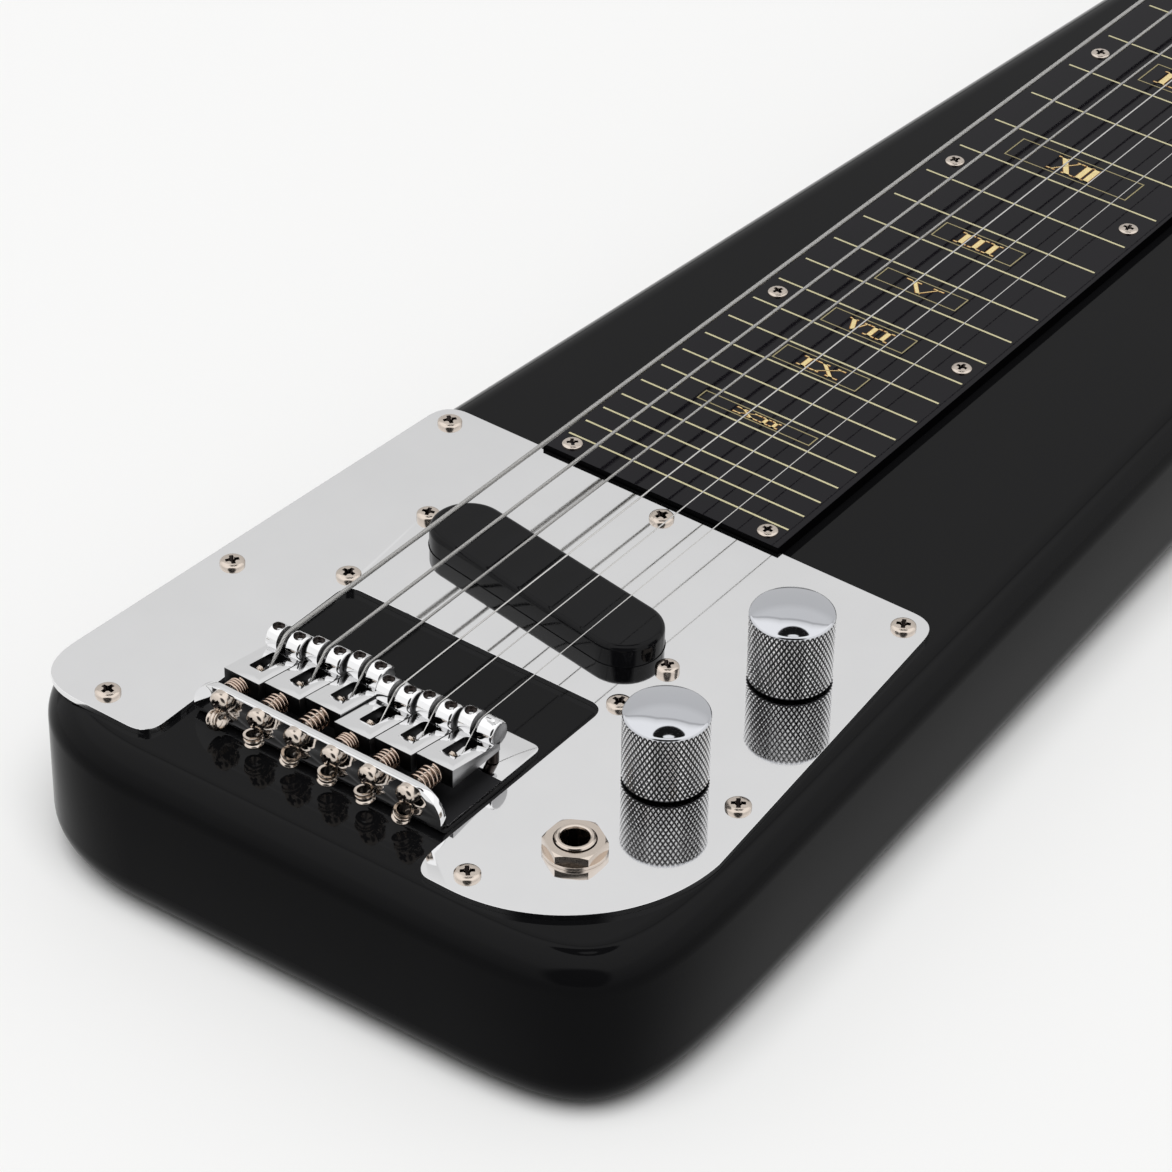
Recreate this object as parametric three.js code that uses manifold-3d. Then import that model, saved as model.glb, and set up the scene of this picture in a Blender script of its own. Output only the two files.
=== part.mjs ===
// A six-string lap steel guitar: a slab body with a chromed control plate, a pickup on two height
// screws, a bridge with six sprung saddles, and open-geared tuners on a lowered headstock.
// Millimetres, +Z up. While it is built, x runs from the saddles towards the nut, y towards the
// bass side and z up from the underside of the body.
import * as THREE from 'three';
import { mergeVertices } from 'three/addons/utils/BufferGeometryUtils.js';
import Module from 'manifold-3d';

const wasm = await Module();
wasm.setup();

// Strings and fretboard
const scaleLength = 572;
const fretCount = 28;
const semitoneShare = 2 ** (-1 / 12);
const heaviestString = 1.17;
const stringDiameterShares = [0.214, 0.282, 0.368, 0.564, 0.778, 1];
const stringPitchAtSaddles = 10.8;
const stringPitchAtNut = 8.88;
const stringHeight = 10;
const boardThickness = 3;
const boardHalfWidthAtSaddles = 36.7;
const boardTaperShare = 0.0124;
const boardEndPastLastFret = 7.6;
const boardScrewDiameter = 5.2;
const boardScrewSpaces = [19, 13, 9, 5, 1];
const boardScrewFromEdge = 5.9;
const boardScrewFromEnd = 4.1;
const nutLength = 5;
const nutAboveStrings = 0.8;

// Body
const bodyThickness = 45;
const tailLength = 48.9;
const tailSlantShare = 0.023;
const bassSideWidth = 77.4;
const trebleSideWidth = 98.7;
const bassTaperShare = 0.074;
const trebleTaperShare = 0.067;
const bassCornerAlongTail = 45.4;
const bassCornerAlongSide = 41.3;
const bassCornerShare = 0.635;
const trebleCornerAlongTail = 47.4;
const trebleCornerAlongSide = 69.3;
const trebleCornerShare = 0.875;
const sideStraightToNut = 172;
const shoulderBass = 42;
const shoulderTreble = 54;
const shoulderCornerRadius = 20;
const bodyPastNut = 26;
const topEdgeRadius = 8.5;
const bottomEdgeRadius = 11.8;

// Headstock
const headDrop = 12;
const headThickness = 16;
const headWidthAtBody = 68;
const headWidthAtTip = 84;
const headPastLastTuner = 34;
const headCornerRadius = 14;
const headEdgeRadius = 3;

// Control plate
const plateThickness = 1.5;
const plateFromTail = 9.9;
const plateFromBassSide = 4.6;
const plateFromTrebleSide = 7.1;
const plateBassTaperShare = 0.064;
const plateTrebleTaperShare = 0.098;
const plateTailBassRadius = 9;
const plateFarRadius = 7;
const plateSweepFromTail = 43;
const plateSweepPastMouth = 3.8;
const plateSweepShare = 0.56;
const plateMouthRadius = 7;
const cutoutAroundBridge = 2.2;
const cutoutPastBridge = 21;
const cutoutCornerRadius = 4.5;
const boardNotchDepth = 0.8;
const plateScrewDiameter = 6.2;
const plateScrewInset = 6.3;
const sideScrewShare = 0.424;
const farScrewAside = 5.1;
const cutoutScrewAhead = 2.9;
const cutoutScrewAside = 1.9;
const tailScrewBassAside = 17.3;
const tailScrewTrebleAside = 11.3;

// Pickup
const pickupX = 59.5;
const pickupAside = 0.7;
const pickupSlant = THREE.MathUtils.degToRad(9.06);
const pickupLength = 72.4;
const pickupWidth = 19.2;
const pickupAbovePlate = 5.7;
const pickupDepth = 16;
const pickupWall = 1.2;
const pickupTopEdge = 1.4;
const pickupScrewGap = 1.9;
const pickupScrewDiameter = 3;
const pickupScrewHead = 5.8;
const pickupEarPastScrew = 4;
const pickupBaseThickness = 2;
const pickupTravelDown = 4;
const pickupPocketMargin = 1.5;
const pickupPocketDepth = 20;

// Knobs and potentiometers, in one row with the jack
const controlRowFromEdge = 28.3;
const controlRowSlantShare = 0.0237;
const volumeX = 68.6;
const toneX = 21.3;
const jackX = -11.4;
const knobDiameter = 20.2;
const knobHeight = 18;
const knobDome = 1.3;
const knobAbovePlate = 1;
const knobRim = 0.7;
const potDiameter = 22;
const potHeight = 9;
const potFloor = 1.6;
const potShaftDiameter = 6;
const potShaftRise = 14;
const potBushingDiameter = 8;
const potBushingRise = 4;
const potNutDiameter = 12;
const potNutThickness = 2;
const potLugLength = 6;
const potLugWidth = 2;
const potLugThickness = 0.8;
const potLugPitch = 5;

// Jack
const jackBore = 6.6;
const jackBushing = 9.4;
const jackRise = 4;
const jackNutCorners = 15;
const jackNutThickness = 2.4;
const jackWasherDiameter = 15;
const jackWasherThickness = 0.8;
const jackFlangeDiameter = 16;
const jackFlangeThickness = 2;
const jackLongLeaf = 20;
const jackShortLeaf = 11;
const jackLeafThickness = 0.8;
const jackLeafWidth = 5;

// Pockets under the control plate, and the leads that run through them
const cavityDepth = 33;
const cavityMargin = 1.5;
const cavityRadius = 10;
const channelWidth = 9;
const channelDepth = 20;
const pickupChannelX = 52;
const leadDiameter = 2.4;
const leadAboveFloor = 1;

// Bridge
const bridgeSideMargin = 3.85;
const bridgeThickness = 2;
const bridgeTailX = -25;
const bridgeFrontX = 12;
const bridgeBendRadius = 2.8;
const flangeRise = 11;
const flangeCornerRadius = 7.5;
const bridgeCornerRadius = 2.5;
const bridgeScrewHead = 5.4;
const bridgeScrewX = -8.5;

// Saddles
const intonationSpread = 1.6;
const saddleOffsetShares = [0.875, 0, -0.75, 1, 0.06, -0.81];
const saddleWidth = 10.3;
const barrelRadius = 3.3;
const barrelBelowStrings = 2.3;
const slabLength = 17.2;
const slabBottomRise = 6.3;
const slabRearThickness = 5;
const slabFrontThickness = 2.6;
const saddleSlotWidth = 4;
const saddleSlotRear = 12.5;
const saddleSlotFront = 3.7;
const heightScrewSpacing = 6.2;
const heightScrewDiameter = 3;
const heightScrewSink = 0.8;
const intonationRise = 8.6;
const intonationDiameter = 3;
const intonationHead = 5.2;
const intonationHeadDepth = 2.2;
const intonationTipInSlot = 0.6;
const springDiameter = 5.4;
const springWire = 0.5;
const springTurns = 3;
const stringHoleRise = 4;
const stringHoleDiameter = 2.8;
const ballEndDiameter = 4.2;
const ballEndWidth = 3.2;
const ballEndBore = 1.8;

// Tuners
const tunerSpacing = 38;
const firstTunerPastNut = 54;
const tunerFromCentre = 24;
const postDiameter = 6;
const postWaistDiameter = 5;
const postWaistHeight = 10;
const postRise = 17;
const postHoleRise = 13;
const postHoleDiameter = 2.2;
const windingTurns = 2.25;
const windingGap = 0.46;
const gearTeeth = 14;
const gearModule = 0.8;
const gearThickness = 4;
const gearHubDiameter = 7.4;
const gearScrewHead = 5;
const gearBacklash = 0.4;
const flankShare = 0.36;
const wormPitchDiameter = 6;
const wormLength = 10.4;
const wormEndPastLug = 1;
const stripThickness = 1.2;
const stripWidth = 17;
const stripPastTuners = 16;
const lugThickness = 1.3;
const lugWidth = 6;
const lugBelowShaft = 3;
const buttonFromHead = 4;
const buttonLength = 15;
const buttonWidth = 17;
const buttonNeck = 7;
const buttonThickness = 9;

// Fits
const clearance = 0.3;
const overrun = 2;
const weldDistance = 0.0001;

// Facets round a full turn, and steps along curves
const fineFacets = 24;
const roundFacets = 16;
const barrelFacets = 12;
const smallFacets = 8;
const hexagon = 6;
const wireSides = 5;
const curlSteps = 8;
const threadSteps = 8;
const outlineSteps = 8;
const cornerSteps = 3;
const edgeSteps = 3;
const smallEdgeSteps = 2;
const barrelSteps = 3;

// Heights and places worked out from the sizes above
const stringCount = stringDiameterShares.length;
const bodyTop = bodyThickness;
const boardTop = bodyTop + boardThickness;
const plateTop = bodyTop + plateThickness;
const nutX = scaleLength;
const headTop = bodyTop - headDrop;
const headBack = headTop - headThickness;
const bodyEndX = nutX + nutLength + bodyPastNut;
const boardStartX = scaleLength * semitoneShare ** fretCount - boardEndPastLastFret;
const boardEndX = nutX - clearance;
const bridgeHalfWidth = stringPitchAtSaddles * (stringCount - 1) / 2 + saddleWidth / 2 + bridgeSideMargin;
const plateTailX = plateFromTail - tailLength;
const plateFarX = boardStartX - clearance + boardNotchDepth;
const plateBassSide = bassSideWidth - plateFromBassSide;
const plateTrebleSide = trebleSideWidth - plateFromTrebleSide;
const cutoutHalfWidth = bridgeHalfWidth + cutoutAroundBridge;
const cutoutFarX = bridgeFrontX + cutoutPastBridge;
const plateSweepX = plateTailX + plateSweepFromTail;
const plateSweepY = -(cutoutHalfWidth + plateMouthRadius + plateSweepPastMouth);
const controlRowY = controlRowFromEdge - plateTrebleSide;
const pickupY = -pickupAside;
const headTipX = nutX + firstTunerPastNut + (stringCount / 2 - 1) * tunerSpacing + headPastLastTuner;
const stripBottom = headBack - stripThickness;
const gearPitchRadius = gearTeeth * gearModule / 2;
const wormPitchRadius = wormPitchDiameter / 2;
const toothPitch = Math.PI * gearModule;
const toothRise = gearModule;
const toothSink = gearModule * 1.25;
const wormShaftDiameter = (wormPitchRadius - toothSink) * 2;
const wormOffset = gearPitchRadius + wormPitchRadius;
const wormAxisZ = stripBottom - clearance - wormPitchRadius - toothRise;

// Materials
const finish = (color, roughness, metalness) =>
  new THREE.MeshStandardMaterial({ color, roughness, metalness });
const glossBlack = finish(0x0b0b0d, 0.12, 0);
const chrome = finish(0xd9dadd, 0.08, 1);
const nickel = finish(0xb9b3a9, 0.25, 1);
const boardBlack = finish(0x1c1b1e, 0.3, 0);
const blackPlastic = finish(0x101012, 0.35, 0);
const steel = finish(0xa9a9ab, 0.3, 1);
const ivory = finish(0xe9e4d4, 0.4, 0);
const copper = finish(0x8a4a2a, 0.45, 0.6);
const greyMetal = finish(0x8d8f92, 0.4, 1);

const guitar = new THREE.Group();

// Turns a closed geometry into a solid, with its faces pointing outwards
function solid(geometry) {
  const bare = geometry.clone();
  bare.deleteAttribute('normal');
  bare.deleteAttribute('uv');
  const merged = mergeVertices(bare, weldDistance);
  const place = merged.attributes.position.array;
  const index = new Uint32Array(merged.index.array);
  const corner = (i) => new THREE.Vector3().fromArray(place, index[i] * 3);
  let volume = 0;
  for (let i = 0; i < index.length; i += 3) {
    volume += corner(i).dot(corner(i + 1).cross(corner(i + 2)));
  }
  if (volume < 0) index.reverse();
  return new wasm.Manifold(new wasm.Mesh({
    numProp: 3,
    vertProperties: new Float32Array(place),
    triVerts: index,
  }));
}

function solidFrom(positions, index) {
  const geometry = new THREE.BufferGeometry();
  geometry.setAttribute('position', new THREE.Float32BufferAttribute(positions, 3));
  geometry.setIndex(index);
  return solid(geometry);
}

function addPiece(name, material, body) {
  const mesh = body.getMesh();
  const geometry = new THREE.BufferGeometry();
  geometry.setAttribute('position', new THREE.Float32BufferAttribute(mesh.vertProperties, 3));
  geometry.setIndex([...mesh.triVerts]);
  geometry.computeVertexNormals();
  const piece = new THREE.Mesh(geometry, material);
  piece.name = name;
  guitar.add(piece);
}

const join = (...bodies) => bodies.reduce((all, body) => all.add(body));
const cut = (body, ...tools) => tools.reduce((left, tool) => left.subtract(tool), body);
const forEachString = (make) => Array.from({ length: stringCount }, (_, i) => make(i + 1));
const point = (x, y, z) => new THREE.Vector3(x, y, z);

function block(x0, x1, y0, y1, z0, z1) {
  const geometry = new THREE.BoxGeometry(x1 - x0, y1 - y0, z1 - z0);
  geometry.translate((x0 + x1) / 2, (y0 + y1) / 2, (z0 + z1) / 2);
  return solid(geometry);
}

const lathe = (profile, facets) =>
  new THREE.LatheGeometry(profile.map(([radius, height]) => new THREE.Vector2(radius, height)), facets);

// A profile of [radius, height] pairs turned round the upright line through (x, y)
function turned(profile, x, y, facets) {
  const geometry = lathe(profile, facets);
  geometry.rotateX(Math.PI / 2);
  geometry.translate(x, y, 0);
  return solid(geometry);
}

// The same round a line along x through (y, z), with the profile's heights read along x
function turnedAlongX(profile, y, z, facets) {
  const geometry = lathe(profile, facets);
  geometry.rotateZ(-Math.PI / 2);
  geometry.translate(0, y, z);
  return solid(geometry);
}

// The same round a line along y through (x, z), with the profile's heights read along y
function turnedAlongY(profile, x, z, facets) {
  const geometry = lathe(profile, facets);
  geometry.translate(x, 0, z);
  return solid(geometry);
}

const rodProfile = (diameter, from, to) => [[0, from], [diameter / 2, from], [diameter / 2, to], [0, to]];
const uprightRod = (x, y, z0, z1, diameter, facets) => turned(rodProfile(diameter, z0, z1), x, y, facets);
const rodAlongX = (x0, x1, y, z, diameter, facets) =>
  turnedAlongX(rodProfile(diameter, x0, x1), y, z, facets);
const rodAlongY = (y0, y1, x, z, diameter, facets) =>
  turnedAlongY(rodProfile(diameter, y0, y1), x, z, facets);

function slab(shape, z0, z1, curveSegments = cornerSteps) {
  const geometry = new THREE.ExtrudeGeometry(shape, { depth: z1 - z0, bevelEnabled: false, curveSegments });
  geometry.translate(0, 0, z0);
  return solid(geometry);
}

// A shape drawn in x and z, carried along y
function slabAlongY(shape, y0, y1, curveSegments = cornerSteps) {
  const geometry = new THREE.ExtrudeGeometry(shape, { depth: y1 - y0, bevelEnabled: false, curveSegments });
  geometry.rotateX(Math.PI / 2);
  geometry.translate(0, y1, 0);
  return solid(geometry);
}

// A shape drawn in y and z, carried along x
function slabAlongX(shape, x0, x1, curveSegments = cornerSteps) {
  const geometry = new THREE.ExtrudeGeometry(shape, { depth: x1 - x0, bevelEnabled: false, curveSegments });
  geometry.rotateX(Math.PI / 2);
  geometry.rotateZ(Math.PI / 2);
  geometry.translate(x0, 0, 0);
  return solid(geometry);
}

// A slab whose bottom and top edges are rounded over, each with its own radius
function roundedSlab(shape, z0, z1, bottomRadius, topRadius, curveSegments, steps) {
  const raw = shape.getPoints(curveSegments);
  const outline = raw.filter((p, i) => p.distanceTo(raw[(i + 1) % raw.length]) > weldDistance);
  if (THREE.ShapeUtils.isClockWise(outline)) outline.reverse();
  const count = outline.length;
  const inward = outline.map((p, i) => {
    const before = p.clone().sub(outline[(i + count - 1) % count]).normalize();
    const after = outline[(i + 1) % count].clone().sub(p).normalize();
    const mean = new THREE.Vector2(-before.y - after.y, before.x + after.x).normalize();
    return mean.divideScalar(-mean.x * after.y + mean.y * after.x);
  });
  const levels = [];
  for (let step = 0; step <= steps; step += 1) {
    const angle = step / steps * Math.PI / 2;
    levels.push([bottomRadius * (1 - Math.sin(angle)), z0 + bottomRadius * (1 - Math.cos(angle))]);
  }
  for (let step = steps; step >= 0; step -= 1) {
    const angle = step / steps * Math.PI / 2;
    levels.push([topRadius * (1 - Math.sin(angle)), z1 - topRadius * (1 - Math.cos(angle))]);
  }
  const positions = [];
  for (const [inset, z] of levels) {
    outline.forEach((p, i) => positions.push(p.x + inward[i].x * inset, p.y + inward[i].y * inset, z));
  }
  const index = [];
  for (let level = 0; level < levels.length - 1; level += 1) {
    for (let i = 0; i < count; i += 1) {
      const a = level * count + i;
      const b = level * count + (i + 1) % count;
      index.push(a, b, b + count, a, b + count, a + count);
    }
  }
  const last = (levels.length - 1) * count;
  for (const [a, b, c] of THREE.ShapeUtils.triangulateShape(outline, [])) {
    index.push(c, b, a, last + a, last + b, last + c);
  }
  return solidFrom(positions, index);
}

// A closed round wire through a list of points, with flat ends and mitred bends
function wire(points, diameter, sides) {
  const count = points.length;
  const positions = [];
  const index = [];
  const across = point(0, 1, 0);
  let forward = points[1].clone().sub(points[0]).normalize();
  across.addScaledVector(forward, -across.dot(forward));
  if (across.length() < Math.SQRT1_2 / 2) across.set(1, 0, 0).addScaledVector(forward, -forward.x);
  across.normalize();
  points.forEach((place, i) => {
    const into = i > 0 ? place.clone().sub(points[i - 1]).normalize() : forward.clone();
    const out = i < count - 1 ? points[i + 1].clone().sub(place).normalize() : into.clone();
    across.applyQuaternion(new THREE.Quaternion().setFromUnitVectors(forward, into)).normalize();
    forward = into;
    const mitre = into.clone().add(out).normalize();
    const up = new THREE.Vector3().crossVectors(into, across);
    for (let k = 0; k < sides; k += 1) {
      const angle = k / sides * Math.PI * 2;
      const offset = across.clone().multiplyScalar(Math.cos(angle) * diameter / 2);
      offset.addScaledVector(up, Math.sin(angle) * diameter / 2);
      offset.addScaledVector(into, -offset.dot(mitre) / into.dot(mitre));
      positions.push(place.x + offset.x, place.y + offset.y, place.z + offset.z);
    }
  });
  for (let ring = 0; ring < count - 1; ring += 1) {
    for (let k = 0; k < sides; k += 1) {
      const a = ring * sides + k;
      const b = ring * sides + (k + 1) % sides;
      index.push(a, b, b + sides, a, b + sides, a + sides);
    }
  }
  const last = (count - 1) * sides;
  for (let k = 1; k < sides - 1; k += 1) {
    index.push(0, k + 1, k, last, last + k, last + k + 1);
  }
  return solidFrom(positions, index);
}

// The least gap between stretches of a wound wire that lie half a turn or more apart
function leastSelfGap(points, diameter) {
  let least = Infinity;
  for (let i = 0; i < points.length; i += 1) {
    for (let j = i + curlSteps / 2; j < points.length; j += 1) {
      least = Math.min(least, points[i].distanceTo(points[j]) - diameter);
    }
  }
  return least;
}

function roundedRectangle(x0, x1, y0, y1, r) {
  const shape = new THREE.Shape();
  shape.moveTo(x0 + r, y0);
  shape.lineTo(x1 - r, y0);
  shape.absarc(x1 - r, y0 + r, r, -Math.PI / 2, 0);
  shape.lineTo(x1, y1 - r);
  shape.absarc(x1 - r, y1 - r, r, 0, Math.PI / 2);
  shape.lineTo(x0 + r, y1);
  shape.absarc(x0 + r, y1 - r, r, Math.PI / 2, Math.PI);
  shape.lineTo(x0, y0 + r);
  shape.absarc(x0 + r, y0 + r, r, Math.PI, Math.PI * 1.5);
  return shape;
}

const centredRectangle = (length, width, r) =>
  roundedRectangle(-width / 2, width / 2, -length / 2, length / 2, r);
const stadium = (length, width) => centredRectangle(length, width, width / 2);

// A pan-head screw seen from above: only its head, let into what it holds by one clearance
const panHead = (diameter, x, y, z, facets = smallFacets) => turned([
  [0, z - clearance], [diameter / 2, z - clearance], [diameter / 2, z + diameter * 0.16],
  [0, z + diameter * 0.36],
], x, y, facets);

const fretX = (fret) => scaleLength * semitoneShare ** fret;
const boardHalfWidth = (x) => boardHalfWidthAtSaddles - boardTaperShare * x;
const stringY = (number, pitch) => (number - (stringCount + 1) / 2) * pitch;
const stringRadius = (number) => heaviestString * stringDiameterShares[number - 1] / 2;
const stringZ = (number) => boardTop + stringHeight + stringRadius(number);
const saddleX = (number) => intonationSpread * saddleOffsetShares[number - 1];
const saddleY = (number) => stringY(number, stringPitchAtSaddles);
const controlY = (x) => controlRowY - controlRowSlantShare * x;

// Body: slab and headstock, with the pockets under the control plate and the tuner holes

function bodyOutline() {
  const bassY = (x) => bassSideWidth - bassTaperShare * x;
  const trebleY = (x) => -(trebleSideWidth - trebleTaperShare * x);
  const tailX = (y) => -tailLength - tailSlantShare * y;
  const straightTo = nutX - sideStraightToNut;
  const shoulderX = bodyEndX - shoulderCornerRadius;
  const easing = (shoulderX - straightTo) / 2;
  const r = shoulderCornerRadius;
  const bassStart = tailX(bassSideWidth) + bassCornerAlongSide;
  const trebleStart = tailX(-trebleSideWidth) + trebleCornerAlongSide;
  const bassHandle = bassStart - bassCornerAlongSide * bassCornerShare;
  const trebleHandle = trebleStart - trebleCornerAlongSide * trebleCornerShare;
  const bassLow = bassY(-tailLength) - bassCornerAlongTail;
  const trebleLow = trebleY(-tailLength) + trebleCornerAlongTail;
  const bassLowHandle = bassLow + bassCornerAlongTail * bassCornerShare;
  const trebleLowHandle = trebleLow - trebleCornerAlongTail * trebleCornerShare;
  const shape = new THREE.Shape();
  shape.moveTo(trebleStart, trebleY(trebleStart));
  shape.lineTo(straightTo, trebleY(straightTo));
  shape.bezierCurveTo(straightTo + easing, trebleY(straightTo + easing), shoulderX - easing, -shoulderTreble,
    shoulderX, -shoulderTreble);
  shape.quadraticCurveTo(bodyEndX, -shoulderTreble, bodyEndX, -shoulderTreble + r);
  shape.lineTo(bodyEndX, shoulderBass - r);
  shape.quadraticCurveTo(bodyEndX, shoulderBass, shoulderX, shoulderBass);
  shape.bezierCurveTo(shoulderX - easing, shoulderBass, straightTo + easing, bassY(straightTo + easing),
    straightTo, bassY(straightTo));
  shape.lineTo(bassStart, bassY(bassStart));
  shape.bezierCurveTo(bassHandle, bassY(bassHandle), tailX(bassLowHandle), bassLowHandle,
    tailX(bassLow), bassLow);
  shape.lineTo(tailX(trebleLow), trebleLow);
  shape.bezierCurveTo(tailX(trebleLowHandle), trebleLowHandle, trebleHandle, trebleY(trebleHandle),
    trebleStart, trebleY(trebleStart));
  return shape;
}

function headOutline() {
  const rootX = bodyEndX - shoulderCornerRadius;
  const r = headCornerRadius;
  const tip = headWidthAtTip / 2;
  const root = headWidthAtBody / 2;
  const shape = new THREE.Shape();
  shape.moveTo(rootX, -root);
  shape.lineTo(headTipX - r, -tip);
  shape.quadraticCurveTo(headTipX, -tip, headTipX, -tip + r);
  shape.lineTo(headTipX, tip - r);
  shape.quadraticCurveTo(headTipX, tip, headTipX - r, tip);
  shape.lineTo(rootX, root);
  return shape;
}

const tunerPlaces = forEachString((number) => {
  const treble = number <= stringCount / 2;
  const rank = treble ? number - 1 : stringCount - number;
  return {
    x: nutX + firstTunerPastNut + rank * tunerSpacing,
    y: treble ? -tunerFromCentre : tunerFromCentre,
    outward: treble ? -1 : 1,
  };
});

const placePickup = (body) =>
  body.rotate([0, 0, -THREE.MathUtils.radToDeg(pickupSlant)]).translate([pickupX, pickupY, 0]);
const pickupScrewY = pickupLength / 2 + pickupScrewGap + pickupScrewHead / 2;
const pickupBaseLength = (pickupScrewY + pickupEarPastScrew) * 2;
const jackPocketRadius = jackFlangeDiameter / 2 + cavityMargin;
const potReach = potDiameter / 2 + cavityMargin;

function bodyTools() {
  const above = bodyTop + overrun;
  const pocketWidth = pickupWidth + pickupPocketMargin * 2;
  const pocketLength = pickupBaseLength + pickupPocketMargin * 2;
  const cavity = roundedRectangle(toneX - potReach, volumeX + potReach, controlY(volumeX) - potReach,
    controlY(toneX) + potReach, cavityRadius);
  const half = channelWidth / 2;
  const floor = bodyTop - channelDepth;
  const holes = tunerPlaces.map(({ x, y }) => uprightRod(x, y, headBack - overrun, headTop + overrun,
    postDiameter + clearance * 4, smallFacets));
  return [
    slab(cavity, bodyTop - cavityDepth, above),
    uprightRod(jackX, controlY(jackX), bodyTop - cavityDepth, above, jackPocketRadius * 2, roundFacets),
    block(jackX, toneX, controlY(jackX) - half, controlY(jackX) + half, floor, above),
    placePickup(slab(centredRectangle(pocketLength, pocketWidth, pocketWidth / 4),
      bodyTop - pickupPocketDepth, above)),
    block(pickupChannelX - half, pickupChannelX + half, controlY(pickupChannelX),
      pickupY - pickupLength / 2, floor, above),
    ...holes,
  ];
}

const mainSlab = roundedSlab(bodyOutline(), 0, bodyTop, bottomEdgeRadius, topEdgeRadius, outlineSteps,
  edgeSteps);
const headSlab = roundedSlab(headOutline(), headBack, headTop, headEdgeRadius, headEdgeRadius,
  cornerSteps, smallEdgeSteps);
addPiece('body', glossBlack, cut(join(mainSlab, headSlab), ...bodyTools()));

// Control plate with its nine screws

const plateBassY = (x) => plateBassSide - plateBassTaperShare * x;
const plateTrebleY = (x) => -(plateTrebleSide - plateTrebleTaperShare * x);

function plateOutline() {
  const tail = plateTailX;
  const far = plateFarX;
  const r = plateFarRadius;
  const boardHalf = boardHalfWidth(far) + clearance;
  const mouth = cutoutHalfWidth + plateMouthRadius;
  const inner = cutoutHalfWidth - cutoutCornerRadius;
  const sweepTop = plateTrebleY(plateSweepX);
  const handleX = plateSweepX - (plateSweepX - tail) * plateSweepShare;
  const handleY = plateSweepY + (sweepTop - plateSweepY) * plateSweepShare;
  const shape = new THREE.Shape();
  shape.moveTo(plateSweepX, sweepTop);
  shape.lineTo(far - r, plateTrebleY(far - r));
  shape.quadraticCurveTo(far, plateTrebleY(far), far, plateTrebleY(far) + r);
  shape.lineTo(far, -boardHalf);
  shape.lineTo(far - boardNotchDepth, -boardHalf);
  shape.lineTo(far - boardNotchDepth, boardHalf);
  shape.lineTo(far, boardHalf);
  shape.lineTo(far, plateBassY(far) - r);
  shape.quadraticCurveTo(far, plateBassY(far), far - r, plateBassY(far - r));
  shape.lineTo(tail + plateTailBassRadius, plateBassY(tail + plateTailBassRadius));
  shape.quadraticCurveTo(tail, plateBassY(tail), tail, plateBassY(tail) - plateTailBassRadius);
  shape.lineTo(tail, mouth);
  shape.quadraticCurveTo(tail, cutoutHalfWidth, tail + plateMouthRadius, cutoutHalfWidth);
  shape.lineTo(cutoutFarX - cutoutCornerRadius, cutoutHalfWidth);
  shape.quadraticCurveTo(cutoutFarX, cutoutHalfWidth, cutoutFarX, inner);
  shape.lineTo(cutoutFarX, -inner);
  shape.quadraticCurveTo(cutoutFarX, -cutoutHalfWidth, cutoutFarX - cutoutCornerRadius, -cutoutHalfWidth);
  shape.lineTo(tail + plateMouthRadius, -cutoutHalfWidth);
  shape.quadraticCurveTo(tail, -cutoutHalfWidth, tail, -mouth);
  shape.lineTo(tail, plateSweepY);
  shape.bezierCurveTo(tail, handleY, handleX, sweepTop, plateSweepX, sweepTop);
  return shape;
}

function plateScrewPlaces() {
  const nearX = plateTailX + plateScrewInset;
  const farX = plateFarX - plateScrewInset;
  const sideX = plateTailX + (plateFarX - plateTailX) * sideScrewShare;
  const cornerX = cutoutFarX + cutoutScrewAhead;
  const cornerY = cutoutHalfWidth + cutoutScrewAside;
  return [
    [farX, plateBassY(farX) - plateScrewInset], [farX, -farScrewAside],
    [farX, plateTrebleY(farX) + plateScrewInset],
    [sideX, plateBassY(sideX) - plateScrewInset], [sideX, plateTrebleY(sideX) + plateScrewInset],
    [cornerX, cornerY], [cornerX, -cornerY],
    [nearX, cutoutHalfWidth + tailScrewBassAside], [nearX, -cutoutHalfWidth - tailScrewTrebleAside],
  ];
}

function buildPlate() {
  const hole = (x, y, diameter, facets) =>
    uprightRod(x, y, bodyTop - overrun, plateTop + overrun, diameter + clearance * 2, facets);
  const window = stadium(pickupLength + clearance * 2, pickupWidth + clearance * 2);
  const tools = [
    placePickup(slab(window, bodyTop - overrun, plateTop + overrun)),
    placePickup(hole(0, pickupScrewY, pickupScrewDiameter, smallFacets)),
    placePickup(hole(0, -pickupScrewY, pickupScrewDiameter, smallFacets)),
    hole(jackX, controlY(jackX), jackBushing, roundFacets),
    ...[volumeX, toneX].map((x) => hole(x, controlY(x), potBushingDiameter, roundFacets)),
  ];
  const heads = plateScrewPlaces().map(([x, y]) => panHead(plateScrewDiameter, x, y, plateTop));
  return join(cut(slab(plateOutline(), bodyTop, plateTop), ...tools), ...heads);
}

addPiece('control_plate', chrome, buildPlate());

// Fretboard with its screws, and the nut

function buildFretboard() {
  const shape = new THREE.Shape();
  shape.moveTo(boardStartX, -boardHalfWidth(boardStartX));
  shape.lineTo(boardEndX, -boardHalfWidth(boardEndX));
  shape.lineTo(boardEndX, boardHalfWidth(boardEndX));
  shape.lineTo(boardStartX, boardHalfWidth(boardStartX));
  const columns = [boardStartX + boardScrewFromEnd];
  for (const space of boardScrewSpaces) columns.push((fretX(space) + fretX(space - 1)) / 2);
  const heads = [];
  for (const x of columns) {
    const y = boardHalfWidth(x) - boardScrewFromEdge;
    for (const side of [-1, 1]) heads.push(panHead(boardScrewDiameter, x, side * y, boardTop, hexagon));
  }
  return join(slab(shape, bodyTop, boardTop), ...heads);
}

addPiece('fretboard', boardBlack, buildFretboard());

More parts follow.
